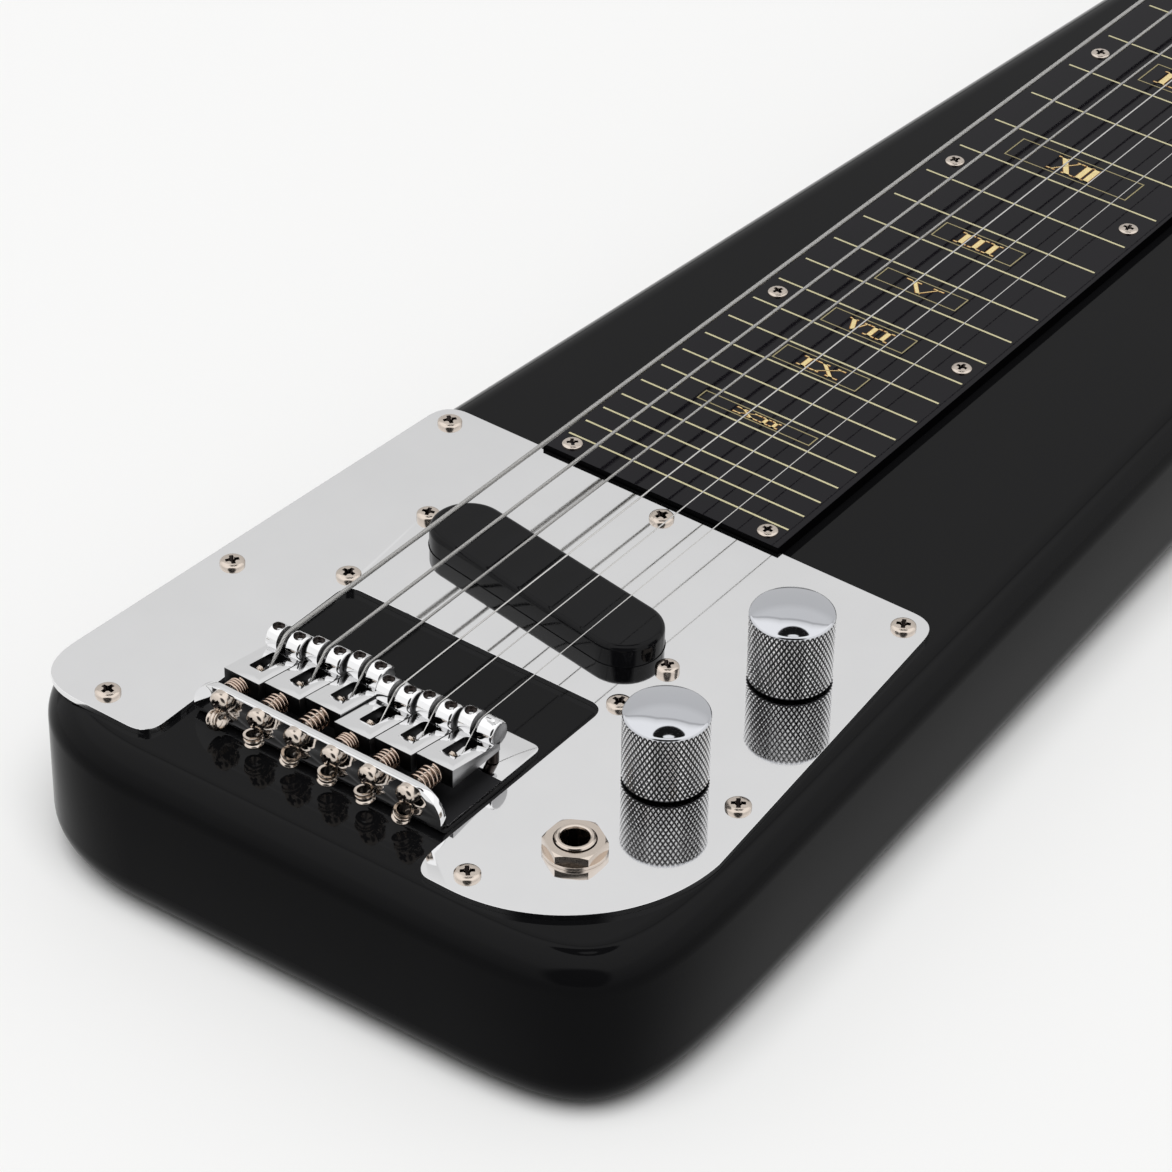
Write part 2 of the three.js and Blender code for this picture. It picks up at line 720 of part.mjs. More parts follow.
function buildNut() {
  const top = boardTop + stringHeight + nutAboveStrings;
  const half = boardHalfWidth(nutX);
  const shape = new THREE.Shape();
  shape.moveTo(nutX, bodyTop);
  shape.lineTo(nutX + nutLength, bodyTop);
  shape.lineTo(nutX + nutLength, top - nutLength / 2);
  shape.quadraticCurveTo(nutX + nutLength, top, nutX + nutLength / 2, top);
  shape.lineTo(nutX, top);
  const slots = forEachString((number) => {
    const y = stringY(number, stringPitchAtNut);
    const side = stringRadius(number) + clearance;
    return block(nutX - overrun, nutX + nutLength + overrun, y - side, y + side,
      boardTop + stringHeight - clearance, top + overrun);
  });
  return cut(slabAlongY(shape, -half, half, edgeSteps), ...slots);
}

addPiece('nut', ivory, buildNut());

// Pickup: cover, coil on its base plate, and the two height screws

const pickupTop = plateTop + pickupAbovePlate;
const pickupBottom = pickupTop - pickupDepth;
const pickupBaseTop = pickupBottom - clearance;
const pickupBaseBottom = pickupBaseTop - pickupBaseThickness;

function buildPickupCover() {
  const outer = roundedSlab(stadium(pickupLength, pickupWidth), pickupBottom, pickupTop,
    pickupTopEdge / 4, pickupTopEdge, cornerSteps, smallEdgeSteps);
  const inside = pickupWall * 2;
  const inner = slab(stadium(pickupLength - inside, pickupWidth - inside), pickupBottom - overrun,
    pickupTop - pickupWall);
  return placePickup(cut(outer, inner));
}

function buildPickupCoil() {
  const gap = pickupWall + clearance;
  const coil = slab(stadium(pickupLength - gap * 2, pickupWidth - gap * 2),
    pickupBaseBottom + pickupBaseThickness / 2, pickupTop - gap);
  const base = slab(centredRectangle(pickupBaseLength, pickupWidth, pickupWidth / 3),
    pickupBaseBottom, pickupBaseTop);
  const holes = [-1, 1].map((side) => uprightRod(0, side * pickupScrewY, pickupBaseBottom - overrun,
    pickupBaseTop + overrun, pickupScrewDiameter + clearance * 2, smallFacets));
  return placePickup(cut(join(coil, base), ...holes));
}

function buildPickupScrew(side) {
  const r = pickupScrewDiameter / 2;
  const h = pickupScrewHead / 2;
  return placePickup(turned([
    [0, pickupBaseBottom - pickupTravelDown], [r, pickupBaseBottom - pickupTravelDown], [r, plateTop],
    [h, plateTop], [h, plateTop + h * 0.3], [h * 0.7, plateTop + h * 0.62], [0, plateTop + h * 0.74],
  ], 0, side * pickupScrewY, smallFacets));
}

addPiece('pickup_cover', blackPlastic, buildPickupCover());
addPiece('pickup_coil', copper, buildPickupCoil());
addPiece('pickup_screw_bass', nickel, buildPickupScrew(1));
addPiece('pickup_screw_treble', nickel, buildPickupScrew(-1));

// Bridge plate: base and tail flange bent from one sheet, drilled for screws and strings

const intonationZ = bodyTop + intonationRise;
const stringHoleZ = bodyTop + stringHoleRise;
const flangeFrontX = bridgeTailX + bridgeThickness;
const bridgeTop = bodyTop + bridgeThickness;

function buildBridgePlate() {
  const bend = bridgeBendRadius;
  const crease = bridgeBendRadius - bridgeThickness;
  const rim = bodyTop + flangeRise;
  const section = new THREE.Shape();
  section.moveTo(bridgeTailX + bend, bodyTop);
  section.lineTo(bridgeFrontX, bodyTop);
  section.lineTo(bridgeFrontX, bridgeTop);
  section.lineTo(bridgeTailX + bend, bridgeTop);
  section.absarc(bridgeTailX + bend, bodyTop + bend, crease, -Math.PI / 2, -Math.PI, true);
  section.lineTo(flangeFrontX, rim);
  section.lineTo(bridgeTailX, rim);
  section.lineTo(bridgeTailX, bodyTop + bend);
  section.absarc(bridgeTailX + bend, bodyTop + bend, bend, Math.PI, Math.PI * 1.5);
  const w = bridgeHalfWidth;
  const face = new THREE.Shape();
  const r = flangeCornerRadius;
  face.moveTo(-w, bodyTop - overrun);
  face.lineTo(w, bodyTop - overrun);
  face.lineTo(w, rim - r);
  face.absarc(w - r, rim - r, r, 0, Math.PI / 2);
  face.lineTo(-w + r, rim);
  face.absarc(-w + r, rim - r, r, Math.PI / 2, Math.PI);
  const front = bridgeFrontX;
  const plan = new THREE.Shape();
  const c = bridgeCornerRadius;
  plan.moveTo(bridgeTailX - overrun, -w);
  plan.lineTo(front - c, -w);
  plan.absarc(front - c, -w + c, c, -Math.PI / 2, 0);
  plan.lineTo(front, w - c);
  plan.absarc(front - c, w - c, c, 0, Math.PI / 2);
  plan.lineTo(bridgeTailX - overrun, w);
  const bent = slabAlongY(section, -w, w)
    .intersect(slabAlongX(face, bridgeTailX - overrun, front + overrun))
    .intersect(slab(plan, bodyTop - overrun, rim + overrun));
  const holes = forEachString((number) => {
    const x0 = bridgeTailX - overrun;
    const x1 = flangeFrontX + overrun;
    return join(
      rodAlongX(x0, x1, saddleY(number), intonationZ, intonationDiameter + clearance * 2, smallFacets),
      rodAlongX(x0, x1, saddleY(number), stringHoleZ, stringHoleDiameter, hexagon),
    );
  });
  const screws = [-1, 0, 1].map((place) =>
    panHead(bridgeScrewHead, bridgeScrewX, place * stringPitchAtSaddles * 2, bridgeTop));
  return join(cut(bent, ...holes), ...screws);
}

addPiece('bridge_plate', chrome, buildBridgePlate());

// Saddles: slotted slab, grooved barrel and the two height screws that stand on the bridge plate

const slabBottom = bodyTop + slabBottomRise;
const barrelZ = boardTop + stringHeight - barrelBelowStrings;
const barrelTop = barrelZ + barrelRadius;

function buildSaddle(number) {
  const x = saddleX(number);
  const y = saddleY(number);
  const half = saddleWidth / 2;
  const shape = new THREE.Shape();
  shape.moveTo(x - slabLength, slabBottom);
  shape.lineTo(x, slabBottom);
  shape.lineTo(x, slabBottom + slabFrontThickness);
  shape.lineTo(x - barrelRadius, slabBottom + slabFrontThickness);
  shape.lineTo(x - slabLength, slabBottom + slabRearThickness);
  const slotHalf = saddleSlotWidth / 2;
  const slot = block(x - saddleSlotRear, x - saddleSlotFront, y - slotHalf, y + slotHalf,
    slabBottom - overrun, slabBottom + slabRearThickness + overrun);
  const tapped = rodAlongX(x - slabLength - overrun, x - saddleSlotRear + overrun, y, intonationZ,
    intonationDiameter + clearance * 2, smallFacets);
  const barrel = rodAlongY(y - half, y + half, x, barrelZ, barrelRadius * 2, barrelFacets);
  const grooveHalf = stringRadius(number) + clearance;
  const grooveFloor = barrelBelowStrings - clearance;
  const groove = turnedAlongY([
    [grooveFloor, y - grooveHalf], [barrelRadius + overrun, y - grooveHalf],
    [barrelRadius + overrun, y + grooveHalf], [grooveFloor, y + grooveHalf], [grooveFloor, y - grooveHalf],
  ], x, barrelZ, barrelFacets);
  const screws = [];
  const sinks = [];
  for (const side of [-1, 1]) {
    const screwY = y + side * heightScrewSpacing / 2;
    screws.push(uprightRod(x, screwY, bridgeTop + clearance, barrelZ, heightScrewDiameter, smallFacets));
    sinks.push(uprightRod(x, screwY, barrelTop - heightScrewSink, barrelTop + overrun, heightScrewDiameter,
      smallFacets));
  }
  return cut(join(cut(slabAlongY(shape, y - half, y + half), slot, tapped), cut(barrel, groove), ...screws),
    ...sinks);
}

forEachString((number) => addPiece(`saddle_${number}`, chrome, buildSaddle(number)));

// Intonation screws: domed head behind the flange, shank through the spring into the saddle's slot

function buildIntonationScrew(number) {
  const tip = saddleX(number) - saddleSlotRear + intonationTipInSlot;
  const r = intonationDiameter / 2;
  const h = intonationHead / 2;
  const seat = bridgeTailX - clearance;
  return turnedAlongX([
    [0, seat - intonationHeadDepth], [h * 0.62, seat - intonationHeadDepth * 0.82],
    [h, seat - intonationHeadDepth * 0.35], [h, seat], [r, seat], [r, tip - r * 0.4],
    [r * 0.6, tip], [0, tip],
  ], saddleY(number), intonationZ, smallFacets);
}

forEachString((number) => addPiece(`intonation_screw_${number}`, nickel, buildIntonationScrew(number)));

// Springs: one unbroken wire each, whose ends run straight along the screw for one wire diameter

function springPoints(number) {
  const x0 = flangeFrontX + clearance;
  const x1 = saddleX(number) - slabLength - clearance;
  const y = saddleY(number);
  const r = (springDiameter - springWire) / 2;
  const coilLength = x1 - x0 - springWire * 2;
  const steps = springTurns * curlSteps;
  const points = [point(x0, y, intonationZ + r)];
  for (let step = 0; step <= steps; step += 1) {
    const angle = step / curlSteps * Math.PI * 2;
    points.push(point(x0 + springWire + coilLength * step / steps, y + Math.sin(angle) * r,
      intonationZ + Math.cos(angle) * r));
  }
  points.push(point(x1, y, intonationZ + r));
  return points;
}

const springGaps = forEachString((number) => {
  const points = springPoints(number);
  addPiece(`saddle_spring_${number}`, steel, wire(points, springWire, wireSides));
  return leastSelfGap(points, springWire);
});
console.log(`Least gap of a saddle spring to itself: ${Math.min(...springGaps).toFixed(2)} mm`);

// Strings: from the ball end through the flange, under the saddle's rear, up through its slot,
// over the barrel and the nut, and wound round the post with the tail in the post's hole

const postHoleZ = headTop + postHoleRise;
const ballX = bridgeTailX - clearance - ballEndDiameter / 2;

function overBarrel(number, from) {
  const x = saddleX(number);
  const reach = barrelBelowStrings + stringRadius(number);
  const dx = from.x - x;
  const dz = from.z - barrelZ;
  const slope = Math.atan2(dz, dx) + Math.PI * 2;
  const start = slope - Math.acos(reach / Math.hypot(dx, dz));
  const points = [];
  for (let step = 0; step <= barrelSteps; step += 1) {
    const angle = start + (Math.PI / 2 - start) * step / barrelSteps;
    points.push(point(x + Math.cos(angle) * reach, from.y, barrelZ + Math.sin(angle) * reach));
  }
  return points;
}

function windingPoints(number, from) {
  const { x, y, outward } = tunerPlaces[number - 1];
  const r = stringRadius(number);
  const reach = (postWaistDiameter / 2 + clearance + r) / Math.cos(Math.PI / curlSteps);
  const rise = (r * 2 + windingGap) / curlSteps;
  const dx = from.x - x;
  const dy = from.y - y;
  const start = Math.atan2(dy, dx) + outward * Math.acos(reach / Math.hypot(dx, dy));
  const steps = Math.round(windingTurns * curlSteps);
  const points = [];
  for (let step = 0; step <= steps; step += 1) {
    const angle = start + outward * step / curlSteps * Math.PI * 2;
    points.push(point(x + Math.cos(angle) * reach, y + Math.sin(angle) * reach,
      postHoleZ - rise * (steps - step)));
  }
  const holeAngle = start + outward * steps / curlSteps * Math.PI * 2;
  const tail = postDiameter / 2 + overrun;
  points.push(point(x - Math.cos(holeAngle) * tail, y - Math.sin(holeAngle) * tail, postHoleZ));
  return { points, holeAngle };
}

const windings = forEachString((number) => windingPoints(number,
  point(nutX + nutLength, stringY(number, stringPitchAtNut), stringZ(number))));

function buildString(number) {
  const y = saddleY(number);
  const r = stringRadius(number);
  const nutY = stringY(number, stringPitchAtNut);
  const bend = point(saddleX(number) - saddleSlotRear + clearance, y, slabBottom - clearance - r);
  const points = [
    point(ballX + ballEndBore / 2 + r, y, stringHoleZ),
    point(flangeFrontX + clearance, y, stringHoleZ),
    bend,
    ...overBarrel(number, bend),
    point(nutX, nutY, stringZ(number)),
    point(nutX + nutLength, nutY, stringZ(number)),
    ...windings[number - 1].points,
  ];
  const bore = ballEndBore / 2;
  const ballRadius = ballEndDiameter / 2;
  const half = ballEndWidth / 2;
  const ball = turned([
    [bore, stringHoleZ - half], [ballRadius, stringHoleZ - half], [ballRadius * 0.78, stringHoleZ],
    [ballRadius, stringHoleZ + half], [bore, stringHoleZ + half], [bore, stringHoleZ - half],
  ], ballX, y, hexagon);
  return join(wire(points, r * 2, wireSides), ball);
}

forEachString((number) => addPiece(`string_${number}`, steel, buildString(number)));
const windingGaps = forEachString((number) =>
  leastSelfGap(windings[number - 1].points.slice(0, -1), stringRadius(number) * 2));
console.log(`Least gap of a string's winding to itself: ${Math.min(...windingGaps).toFixed(2)} mm`);

// Tuner posts with their wheels: trapezoid teeth, twisted a little to lie along the worm's thread

const gearLow = wormAxisZ - gearThickness / 2;
const gearHigh = wormAxisZ + gearThickness / 2;
const toothHalf = (toothPitch - gearBacklash) / 4;
const threadRise = toothPitch / (Math.PI * wormPitchDiameter);

function gearWheel() {
  const tip = gearPitchRadius + toothRise;
  const root = gearPitchRadius - toothSink;
  const corners = [
    [root, -(toothHalf + toothSink * flankShare)], [tip, -(toothHalf - toothRise * flankShare)],
    [tip, toothHalf - toothRise * flankShare], [root, toothHalf + toothSink * flankShare],
  ];
  const outline = [];
  for (let tooth = 0; tooth < gearTeeth; tooth += 1) {
    const middle = (tooth + 0.5) / gearTeeth * Math.PI * 2;
    for (const [radius, aside] of corners) {
      const angle = middle + Math.asin(aside / radius);
      outline.push(new THREE.Vector2(Math.cos(angle) * radius, Math.sin(angle) * radius));
    }
  }
  const geometry = new THREE.ExtrudeGeometry(new THREE.Shape(outline), {
    depth: gearThickness,
    bevelEnabled: false,
  });
  geometry.translate(0, 0, gearLow);
  const place = geometry.attributes.position;
  for (let i = 0; i < place.count; i += 1) {
    const angle = (place.getZ(i) - wormAxisZ) * threadRise / gearPitchRadius;
    const corner = new THREE.Vector2(place.getX(i), place.getY(i)).rotateAround(new THREE.Vector2(), angle);
    place.setXY(i, corner.x, corner.y);
  }
  return solid(geometry);
}

function buildPost(number) {
  const { x, y } = tunerPlaces[number - 1];
  const r = postDiameter / 2;
  const waist = postWaistDiameter / 2;
  const hub = gearHubDiameter / 2;
  const screw = gearScrewHead / 2;
  const top = headTop + postRise;
  const waistLow = top - postWaistHeight - r;
  const seat = stripBottom - clearance;
  const profile = [
    [0, gearLow - screw * 0.6], [screw, gearLow], [hub, gearLow], [hub, seat], [r, seat], [r, waistLow],
    [waist, waistLow + r / 2], [waist, top - r], [r, top - r / 2], [r, top], [0, top],
  ];
  const hole = rodAlongX(-postDiameter, postDiameter, 0, postHoleZ, postHoleDiameter, smallFacets)
    .rotate([0, 0, THREE.MathUtils.radToDeg(windings[number - 1].holeAngle)]);
  return cut(join(turned(profile, 0, 0, smallFacets), gearWheel()), hole).translate([x, y, 0]);
}

forEachString((number) => addPiece(`tuner_post_${number}`, nickel, buildPost(number)));

// Worm shafts: a right-handed thread of one start between two lugs, and a button outside the head

function wormRidge() {
  const buried = (wormPitchRadius - toothSink) / 2;
  const tip = wormPitchRadius + toothRise;
  const buriedHalf = toothHalf + (wormPitchRadius - buried) * flankShare;
  const tipHalf = toothHalf - toothRise * flankShare;
  const section = [[buried, -buriedHalf], [tip, -tipHalf], [tip, tipHalf], [buried, buriedHalf]];
  const turns = Math.floor((wormLength / 2 - buriedHalf) / toothPitch * threadSteps) / threadSteps;
  const steps = Math.round(turns * 2 * threadSteps);
  const positions = [];
  const index = [];
  const sides = section.length;
  for (let step = 0; step <= steps; step += 1) {
    const turn = step / threadSteps - turns;
    const angle = turn * Math.PI * 2 - Math.PI / 2;
    for (const [radius, along] of section) {
      positions.push(Math.sin(angle) * radius, turn * toothPitch + along, Math.cos(angle) * radius);
    }
  }
  for (let ring = 0; ring < steps; ring += 1) {
    for (let k = 0; k < sides; k += 1) {
      const a = ring * sides + k;
      const b = ring * sides + (k + 1) % sides;
      index.push(a, b, b + sides, a, b + sides, a + sides);
    }
  }
  const last = steps * sides;
  for (let k = 1; k < sides - 1; k += 1) {
    index.push(0, k + 1, k, last, last + k, last + k + 1);
  }
  return solidFrom(positions, index);
}

const lugInner = wormLength / 2 + clearance;
const lugOuter = lugInner + lugThickness;
const buttonStart = headWidthAtTip / 2 + buttonFromHead - tunerFromCentre;

function buttonSolid() {
  const neck = buttonNeck / 2;
  const wide = buttonWidth / 2;
  const from = buttonStart;
  const to = buttonStart + buttonLength;
  const shape = new THREE.Shape();
  shape.moveTo(-neck, from);
  shape.lineTo(neck, from);
  shape.bezierCurveTo(neck, from + buttonLength * 0.25, wide, from + buttonLength * 0.2, wide,
    from + buttonLength * 0.55);
  shape.bezierCurveTo(wide, to, neck, to, 0, to);
  shape.bezierCurveTo(-neck, to, -wide, to, -wide, from + buttonLength * 0.55);
  shape.bezierCurveTo(-wide, from + buttonLength * 0.2, -neck, from + buttonLength * 0.25, -neck, from);
  return roundedSlab(shape, -buttonThickness / 2, buttonThickness / 2, buttonThickness / 4,
    buttonThickness / 4, cornerSteps, smallEdgeSteps);
}

function buildTunerShaft(number) {
  const { x, y, outward } = tunerPlaces[number - 1];
  const end = lugOuter + wormEndPastLug;
  const body = join(
    rodAlongY(-end, buttonStart + buttonLength / 2, 0, 0, wormShaftDiameter, threadSteps),
    wormRidge(),
    buttonSolid(),
  );
  const facing = outward > 0 ? body : body.rotate([180, 0, 0]);
  return facing.translate([x + wormOffset, y, wormAxisZ]);
}

forEachString((number) => addPiece(`tuner_shaft_${number}`, nickel, buildTunerShaft(number)));

// Tuner strips: one plate for each row, with two lugs for each shaft

function buildStrip(outward) {
  const row = tunerPlaces.filter((place) => place.outward === outward);
  const xs = row.map((place) => place.x + wormOffset / 2);
  const x0 = Math.min(...xs) - stripPastTuners;
  const x1 = Math.max(...xs) + stripPastTuners;
  const y = outward * tunerFromCentre;
  const half = stripWidth / 2;
  const plate = slab(roundedRectangle(x0, x1, y - half, y + half, stripWidth / 6), stripBottom, headBack);
  const holes = [];
  const lugs = [];
  for (const place of row) {
    const shaftX = place.x + wormOffset;
    holes.push(uprightRod(place.x, y, stripBottom - overrun, headBack + overrun, postDiameter + clearance * 2,
      smallFacets));
    for (const side of [-1, 1]) {
      const a = y + side * lugInner;
      const b = y + side * lugOuter;
      lugs.push(block(shaftX - lugWidth / 2, shaftX + lugWidth / 2, Math.min(a, b), Math.max(a, b),
        wormAxisZ - lugBelowShaft, stripBottom + stripThickness / 2));
    }
    holes.push(rodAlongY(y - half - overrun, y + half + overrun, shaftX, wormAxisZ,
      wormShaftDiameter + clearance * 2, threadSteps));
  }
  return cut(join(plate, ...lugs), ...holes);
}

addPiece('tuner_strip_bass', nickel, buildStrip(1));
addPiece('tuner_strip_treble', nickel, buildStrip(-1));

// Knobs and potentiometers: case under the plate, threaded bushing and nut, shaft inside the knob

const potBottom = bodyTop - potHeight;
const boreRadius = potShaftDiameter / 2 + clearance;

function buildKnob(x) {
  const low = plateTop + knobAbovePlate;
  const high = low + knobHeight;
  const outer = knobDiameter / 2;
  const recess = potNutDiameter / 2 + clearance * 2;
  const recessTop = plateTop + potBushingRise + clearance;
  const boreTop = plateTop + potShaftRise + clearance;
  const profile = [
    [0, boreTop], [boreRadius, boreTop], [boreRadius, recessTop], [recess, recessTop], [recess, low],
    [outer - knobRim / 2, low], [outer, low + knobRim / 2], [outer, high - knobRim], [outer - knobRim, high],
    [outer * 0.55, high + knobDome * 0.7], [0, high + knobDome],
  ];
  return turned(profile, x, controlY(x), fineFacets);
}

function buildPot(x, lugSide) {
  const y = controlY(x);
  const casing = potDiameter / 2;
  const bushing = potBushingDiameter / 2;
  const nut = potNutDiameter / 2;
  const floor = potBottom + potFloor;
  const bushingTop = plateTop + potBushingRise;
  const can = turned([
    [0, potBottom], [casing, potBottom], [casing, bodyTop], [bushing, bodyTop], [bushing, bushingTop],
    [boreRadius, bushingTop], [boreRadius, floor], [0, floor],
  ], x, y, roundFacets);
  const ring = turned([
    [bushing * 0.95, plateTop], [nut, plateTop], [nut, plateTop + potNutThickness],
    [bushing * 0.95, plateTop + potNutThickness], [bushing * 0.95, plateTop],
  ], x, y, hexagon);
  const lugs = [-1, 0, 1].map((place) => {
    const a = x + lugSide * casing * 0.8;
    const b = x + lugSide * (casing + potLugLength);
    const lugY = y + place * potLugPitch;
    return block(Math.min(a, b), Math.max(a, b), lugY - potLugWidth / 2, lugY + potLugWidth / 2,
      floor, floor + potLugThickness);
  });
  return join(can, ring, ...lugs);
}

function buildPotShaft(x) {
  return uprightRod(x, controlY(x), potBottom + potFloor + clearance, plateTop + potShaftRise,
    potShaftDiameter, smallFacets);
}

for (const [name, x, lugSide] of [['volume', volumeX, -1], ['tone', toneX, 1]]) {
  addPiece(`knob_${name}`, chrome, buildKnob(x));
  addPiece(`pot_${name}`, greyMetal, buildPot(x, lugSide));
  addPiece(`pot_shaft_${name}`, nickel, buildPotShaft(x));
}

// Jack: bored bushing on a flange with two contact leaves below, held by a washer and a nut above

const jackY = controlY(jackX);

function buildJackSocket() {
  const bore = jackBore / 2;
  const bushing = jackBushing / 2;
  const flange = jackFlangeDiameter / 2;
  const low = bodyTop - jackFlangeThickness;
  const top = plateTop + jackRise;
  const tube = turned([
    [bore, low], [flange, low], [flange, bodyTop], [bushing, bodyTop], [bushing, top - clearance],
    [bushing - clearance, top], [bore, top], [bore, low],
  ], jackX, jackY, roundFacets);
  const leaf = (x, length) => block(x - jackLeafThickness / 2, x + jackLeafThickness / 2,
    jackY - jackLeafWidth / 2, jackY + jackLeafWidth / 2, low - length, bodyTop - jackFlangeThickness / 2);
  const leafX = (bore + flange) / 2;
  return join(tube, leaf(jackX - leafX, jackLongLeaf), leaf(jackX + leafX, jackShortLeaf));
}

function buildJackNut() {
  const inner = jackBushing / 2 + clearance;
  const washerTop = plateTop + jackWasherThickness;
  const nutTop = washerTop + jackNutThickness;
  const ring = (outer, z0, z1, facets) => turned([
    [inner * 0.8, z0], [outer, z0], [outer, z1], [inner * 0.8, z1], [inner * 0.8, z0],
  ], jackX, jackY, facets);
  const hole = uprightRod(jackX, jackY, plateTop - overrun, nutTop + overrun, inner * 2, roundFacets);
  return cut(join(ring(jackWasherDiameter / 2, plateTop, washerTop, roundFacets),
    ring(jackNutCorners / 2, plateTop + jackWasherThickness / 2, nutTop, hexagon)), hole);
}

addPiece('jack_socket', nickel, buildJackSocket());
addPiece('jack_nut', nickel, buildJackNut());

// Leads: from the pickup and the jack to the potentiometers, along the floor of the channels

function lead(points) {
  const path = new THREE.CatmullRomCurve3(points, false, 'centripetal');
  const ring = new THREE.Shape();
  ring.absarc(0, 0, leadDiameter / 2, 0, Math.PI * 2);
  const geometry = new THREE.ExtrudeGeometry(ring, {
    steps: points.length * 2,
    curveSegments: cornerSteps,
    extrudePath: path,
  });
  return solid(geometry);
}

const leadZ = bodyTop - channelDepth + leadAboveFloor + leadDiameter / 2;
const lugUnderside = potBottom + potFloor - clearance;
const lugReach = potDiameter / 2 + potLugLength - potLugWidth;

function buildPickupLead() {
  const along = -pickupLength / 3;
  const startX = pickupX + Math.sin(pickupSlant) * along;
  const startY = pickupY + Math.cos(pickupSlant) * along;
  const endX = volumeX - lugReach;
  const endY = controlY(volumeX) + potLugPitch;
  const low = pickupBaseBottom - clearance;
  const drop = leadDiameter;
  return lead([
    point(startX, startY, low),
    point(startX, startY, low - drop),
    point(startX - drop, startY - drop, leadZ + drop),
    point(pickupChannelX, startY - pickupWidth / 2, leadZ),
    point(pickupChannelX, endY + drop, leadZ),
    point(endX, endY, leadZ),
    point(endX, endY, lugUnderside - drop),
    point(endX, endY, lugUnderside),
  ]);
}

function buildJackLead() {
  const startX = jackX + (jackBore / 2 + jackFlangeDiameter / 2) / 2;
  const low = bodyTop - jackFlangeThickness - jackShortLeaf - clearance;
  const endX = toneX + lugReach;
  const endY = controlY(toneX);
  const drop = leadDiameter;
  return lead([
    point(startX, jackY, low),
    point(startX, jackY, low - drop / 2),
    point(startX + drop * 2, jackY, leadZ + drop / 2),
    point(toneX - potDiameter / 2, jackY, leadZ),
    point(toneX, endY, leadZ),
    point(endX - drop, endY, leadZ),
    point(endX, endY, lugUnderside - drop),
    point(endX, endY, lugUnderside),
  ]);
}

addPiece('pickup_lead', blackPlastic, buildPickupLead());
addPiece('jack_lead', blackPlastic, buildJackLead());

// The part stands on the underside of its body, with the middle of its footprint at the origin
const extent = new THREE.Box3().setFromObject(guitar);
const middle = extent.getCenter(new THREE.Vector3());
guitar.position.set(-middle.x, -middle.y, 0);

export default guitar;
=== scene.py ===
"""A lap steel guitar: black lacquered slab body, chromed control plate, sprung bridge saddles,
knurled knobs, printed fretboard and worm-geared tuners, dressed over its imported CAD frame.

Pieces are drawn in working coordinates: x runs from the saddles towards the nut, y towards the bass
side and z up from the underside of the body. add_piece moves them into the frame's coordinates."""

import math

import bmesh
import bpy
from mathutils import Matrix, Vector


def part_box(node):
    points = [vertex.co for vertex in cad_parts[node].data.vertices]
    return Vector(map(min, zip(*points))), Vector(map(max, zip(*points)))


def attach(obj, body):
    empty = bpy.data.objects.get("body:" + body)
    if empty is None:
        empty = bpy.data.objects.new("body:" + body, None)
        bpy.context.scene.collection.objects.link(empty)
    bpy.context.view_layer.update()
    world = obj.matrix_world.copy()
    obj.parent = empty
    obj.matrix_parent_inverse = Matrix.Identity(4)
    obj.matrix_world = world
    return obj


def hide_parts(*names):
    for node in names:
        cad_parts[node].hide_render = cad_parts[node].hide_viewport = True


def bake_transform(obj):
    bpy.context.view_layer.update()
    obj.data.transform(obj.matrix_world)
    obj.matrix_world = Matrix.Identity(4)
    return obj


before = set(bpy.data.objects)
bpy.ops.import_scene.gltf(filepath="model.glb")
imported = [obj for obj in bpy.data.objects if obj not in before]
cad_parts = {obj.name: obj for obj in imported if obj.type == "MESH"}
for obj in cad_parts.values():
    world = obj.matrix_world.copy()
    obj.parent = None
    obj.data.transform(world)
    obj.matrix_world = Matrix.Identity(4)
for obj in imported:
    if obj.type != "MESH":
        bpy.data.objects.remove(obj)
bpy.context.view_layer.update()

bl_info = {
    "name": "Lap Steel Guitar",
    "version": (1, 0, 0),
    "blender": (4, 5, 0),
    "location": "View3D > Sidebar > Lap Steel",
    "description": "Builds the pieces and finishes of a lap steel guitar around its CAD frame",
    "category": "Object",
}

MM = 0.001
STRING_COUNT = 6
STRINGS = range(1, STRING_COUNT + 1)
SCALE_LENGTH = 572  # millimetres from the saddle line to the nut


def length(name, millimetres, description):
    """A size in the panel, stored in metres."""
    return bpy.props.FloatProperty(name=name, description=description, default=millimetres * MM,
                                   unit="LENGTH", subtype="DISTANCE", precision=5)


def share(name, value, description):
    return bpy.props.FloatProperty(name=name, description=description, default=value, precision=4)


def count(name, value, description):
    return bpy.props.IntProperty(name=name, description=description, default=value, min=1)


def colour(name, value, description):
    return bpy.props.FloatVectorProperty(name=name, description=description, default=value, size=4,
                                         subtype="COLOR", min=0, max=1)


class BodySizes(bpy.types.PropertyGroup):
    tail_length: length("Tail length", 48.9, "Saddle line to the tail of the body")
    tail_slant: share("Tail slant", 0.023, "Slant of the tail edge")
    bass_side: length("Bass side", 77.4, "Centre line to the bass edge at the saddle line")
    treble_side: length("Treble side", 98.7, "Centre line to the treble edge at the saddle line")
    bass_taper: share("Bass taper", 0.074, "How fast the bass edge closes in")
    treble_taper: share("Treble taper", 0.067, "How fast the treble edge closes in")
    shoulder_radius: length("Shoulder radius", 20, "Corner between a shoulder and the body's end")
    top_edge: length("Top edge radius", 8.5, "Rounding of the top edge")
    bottom_edge: length("Bottom edge radius", 11.8, "Rounding of the bottom edge")
    head_edge: length("Head edge radius", 3, "Rounding of the headstock's edges")


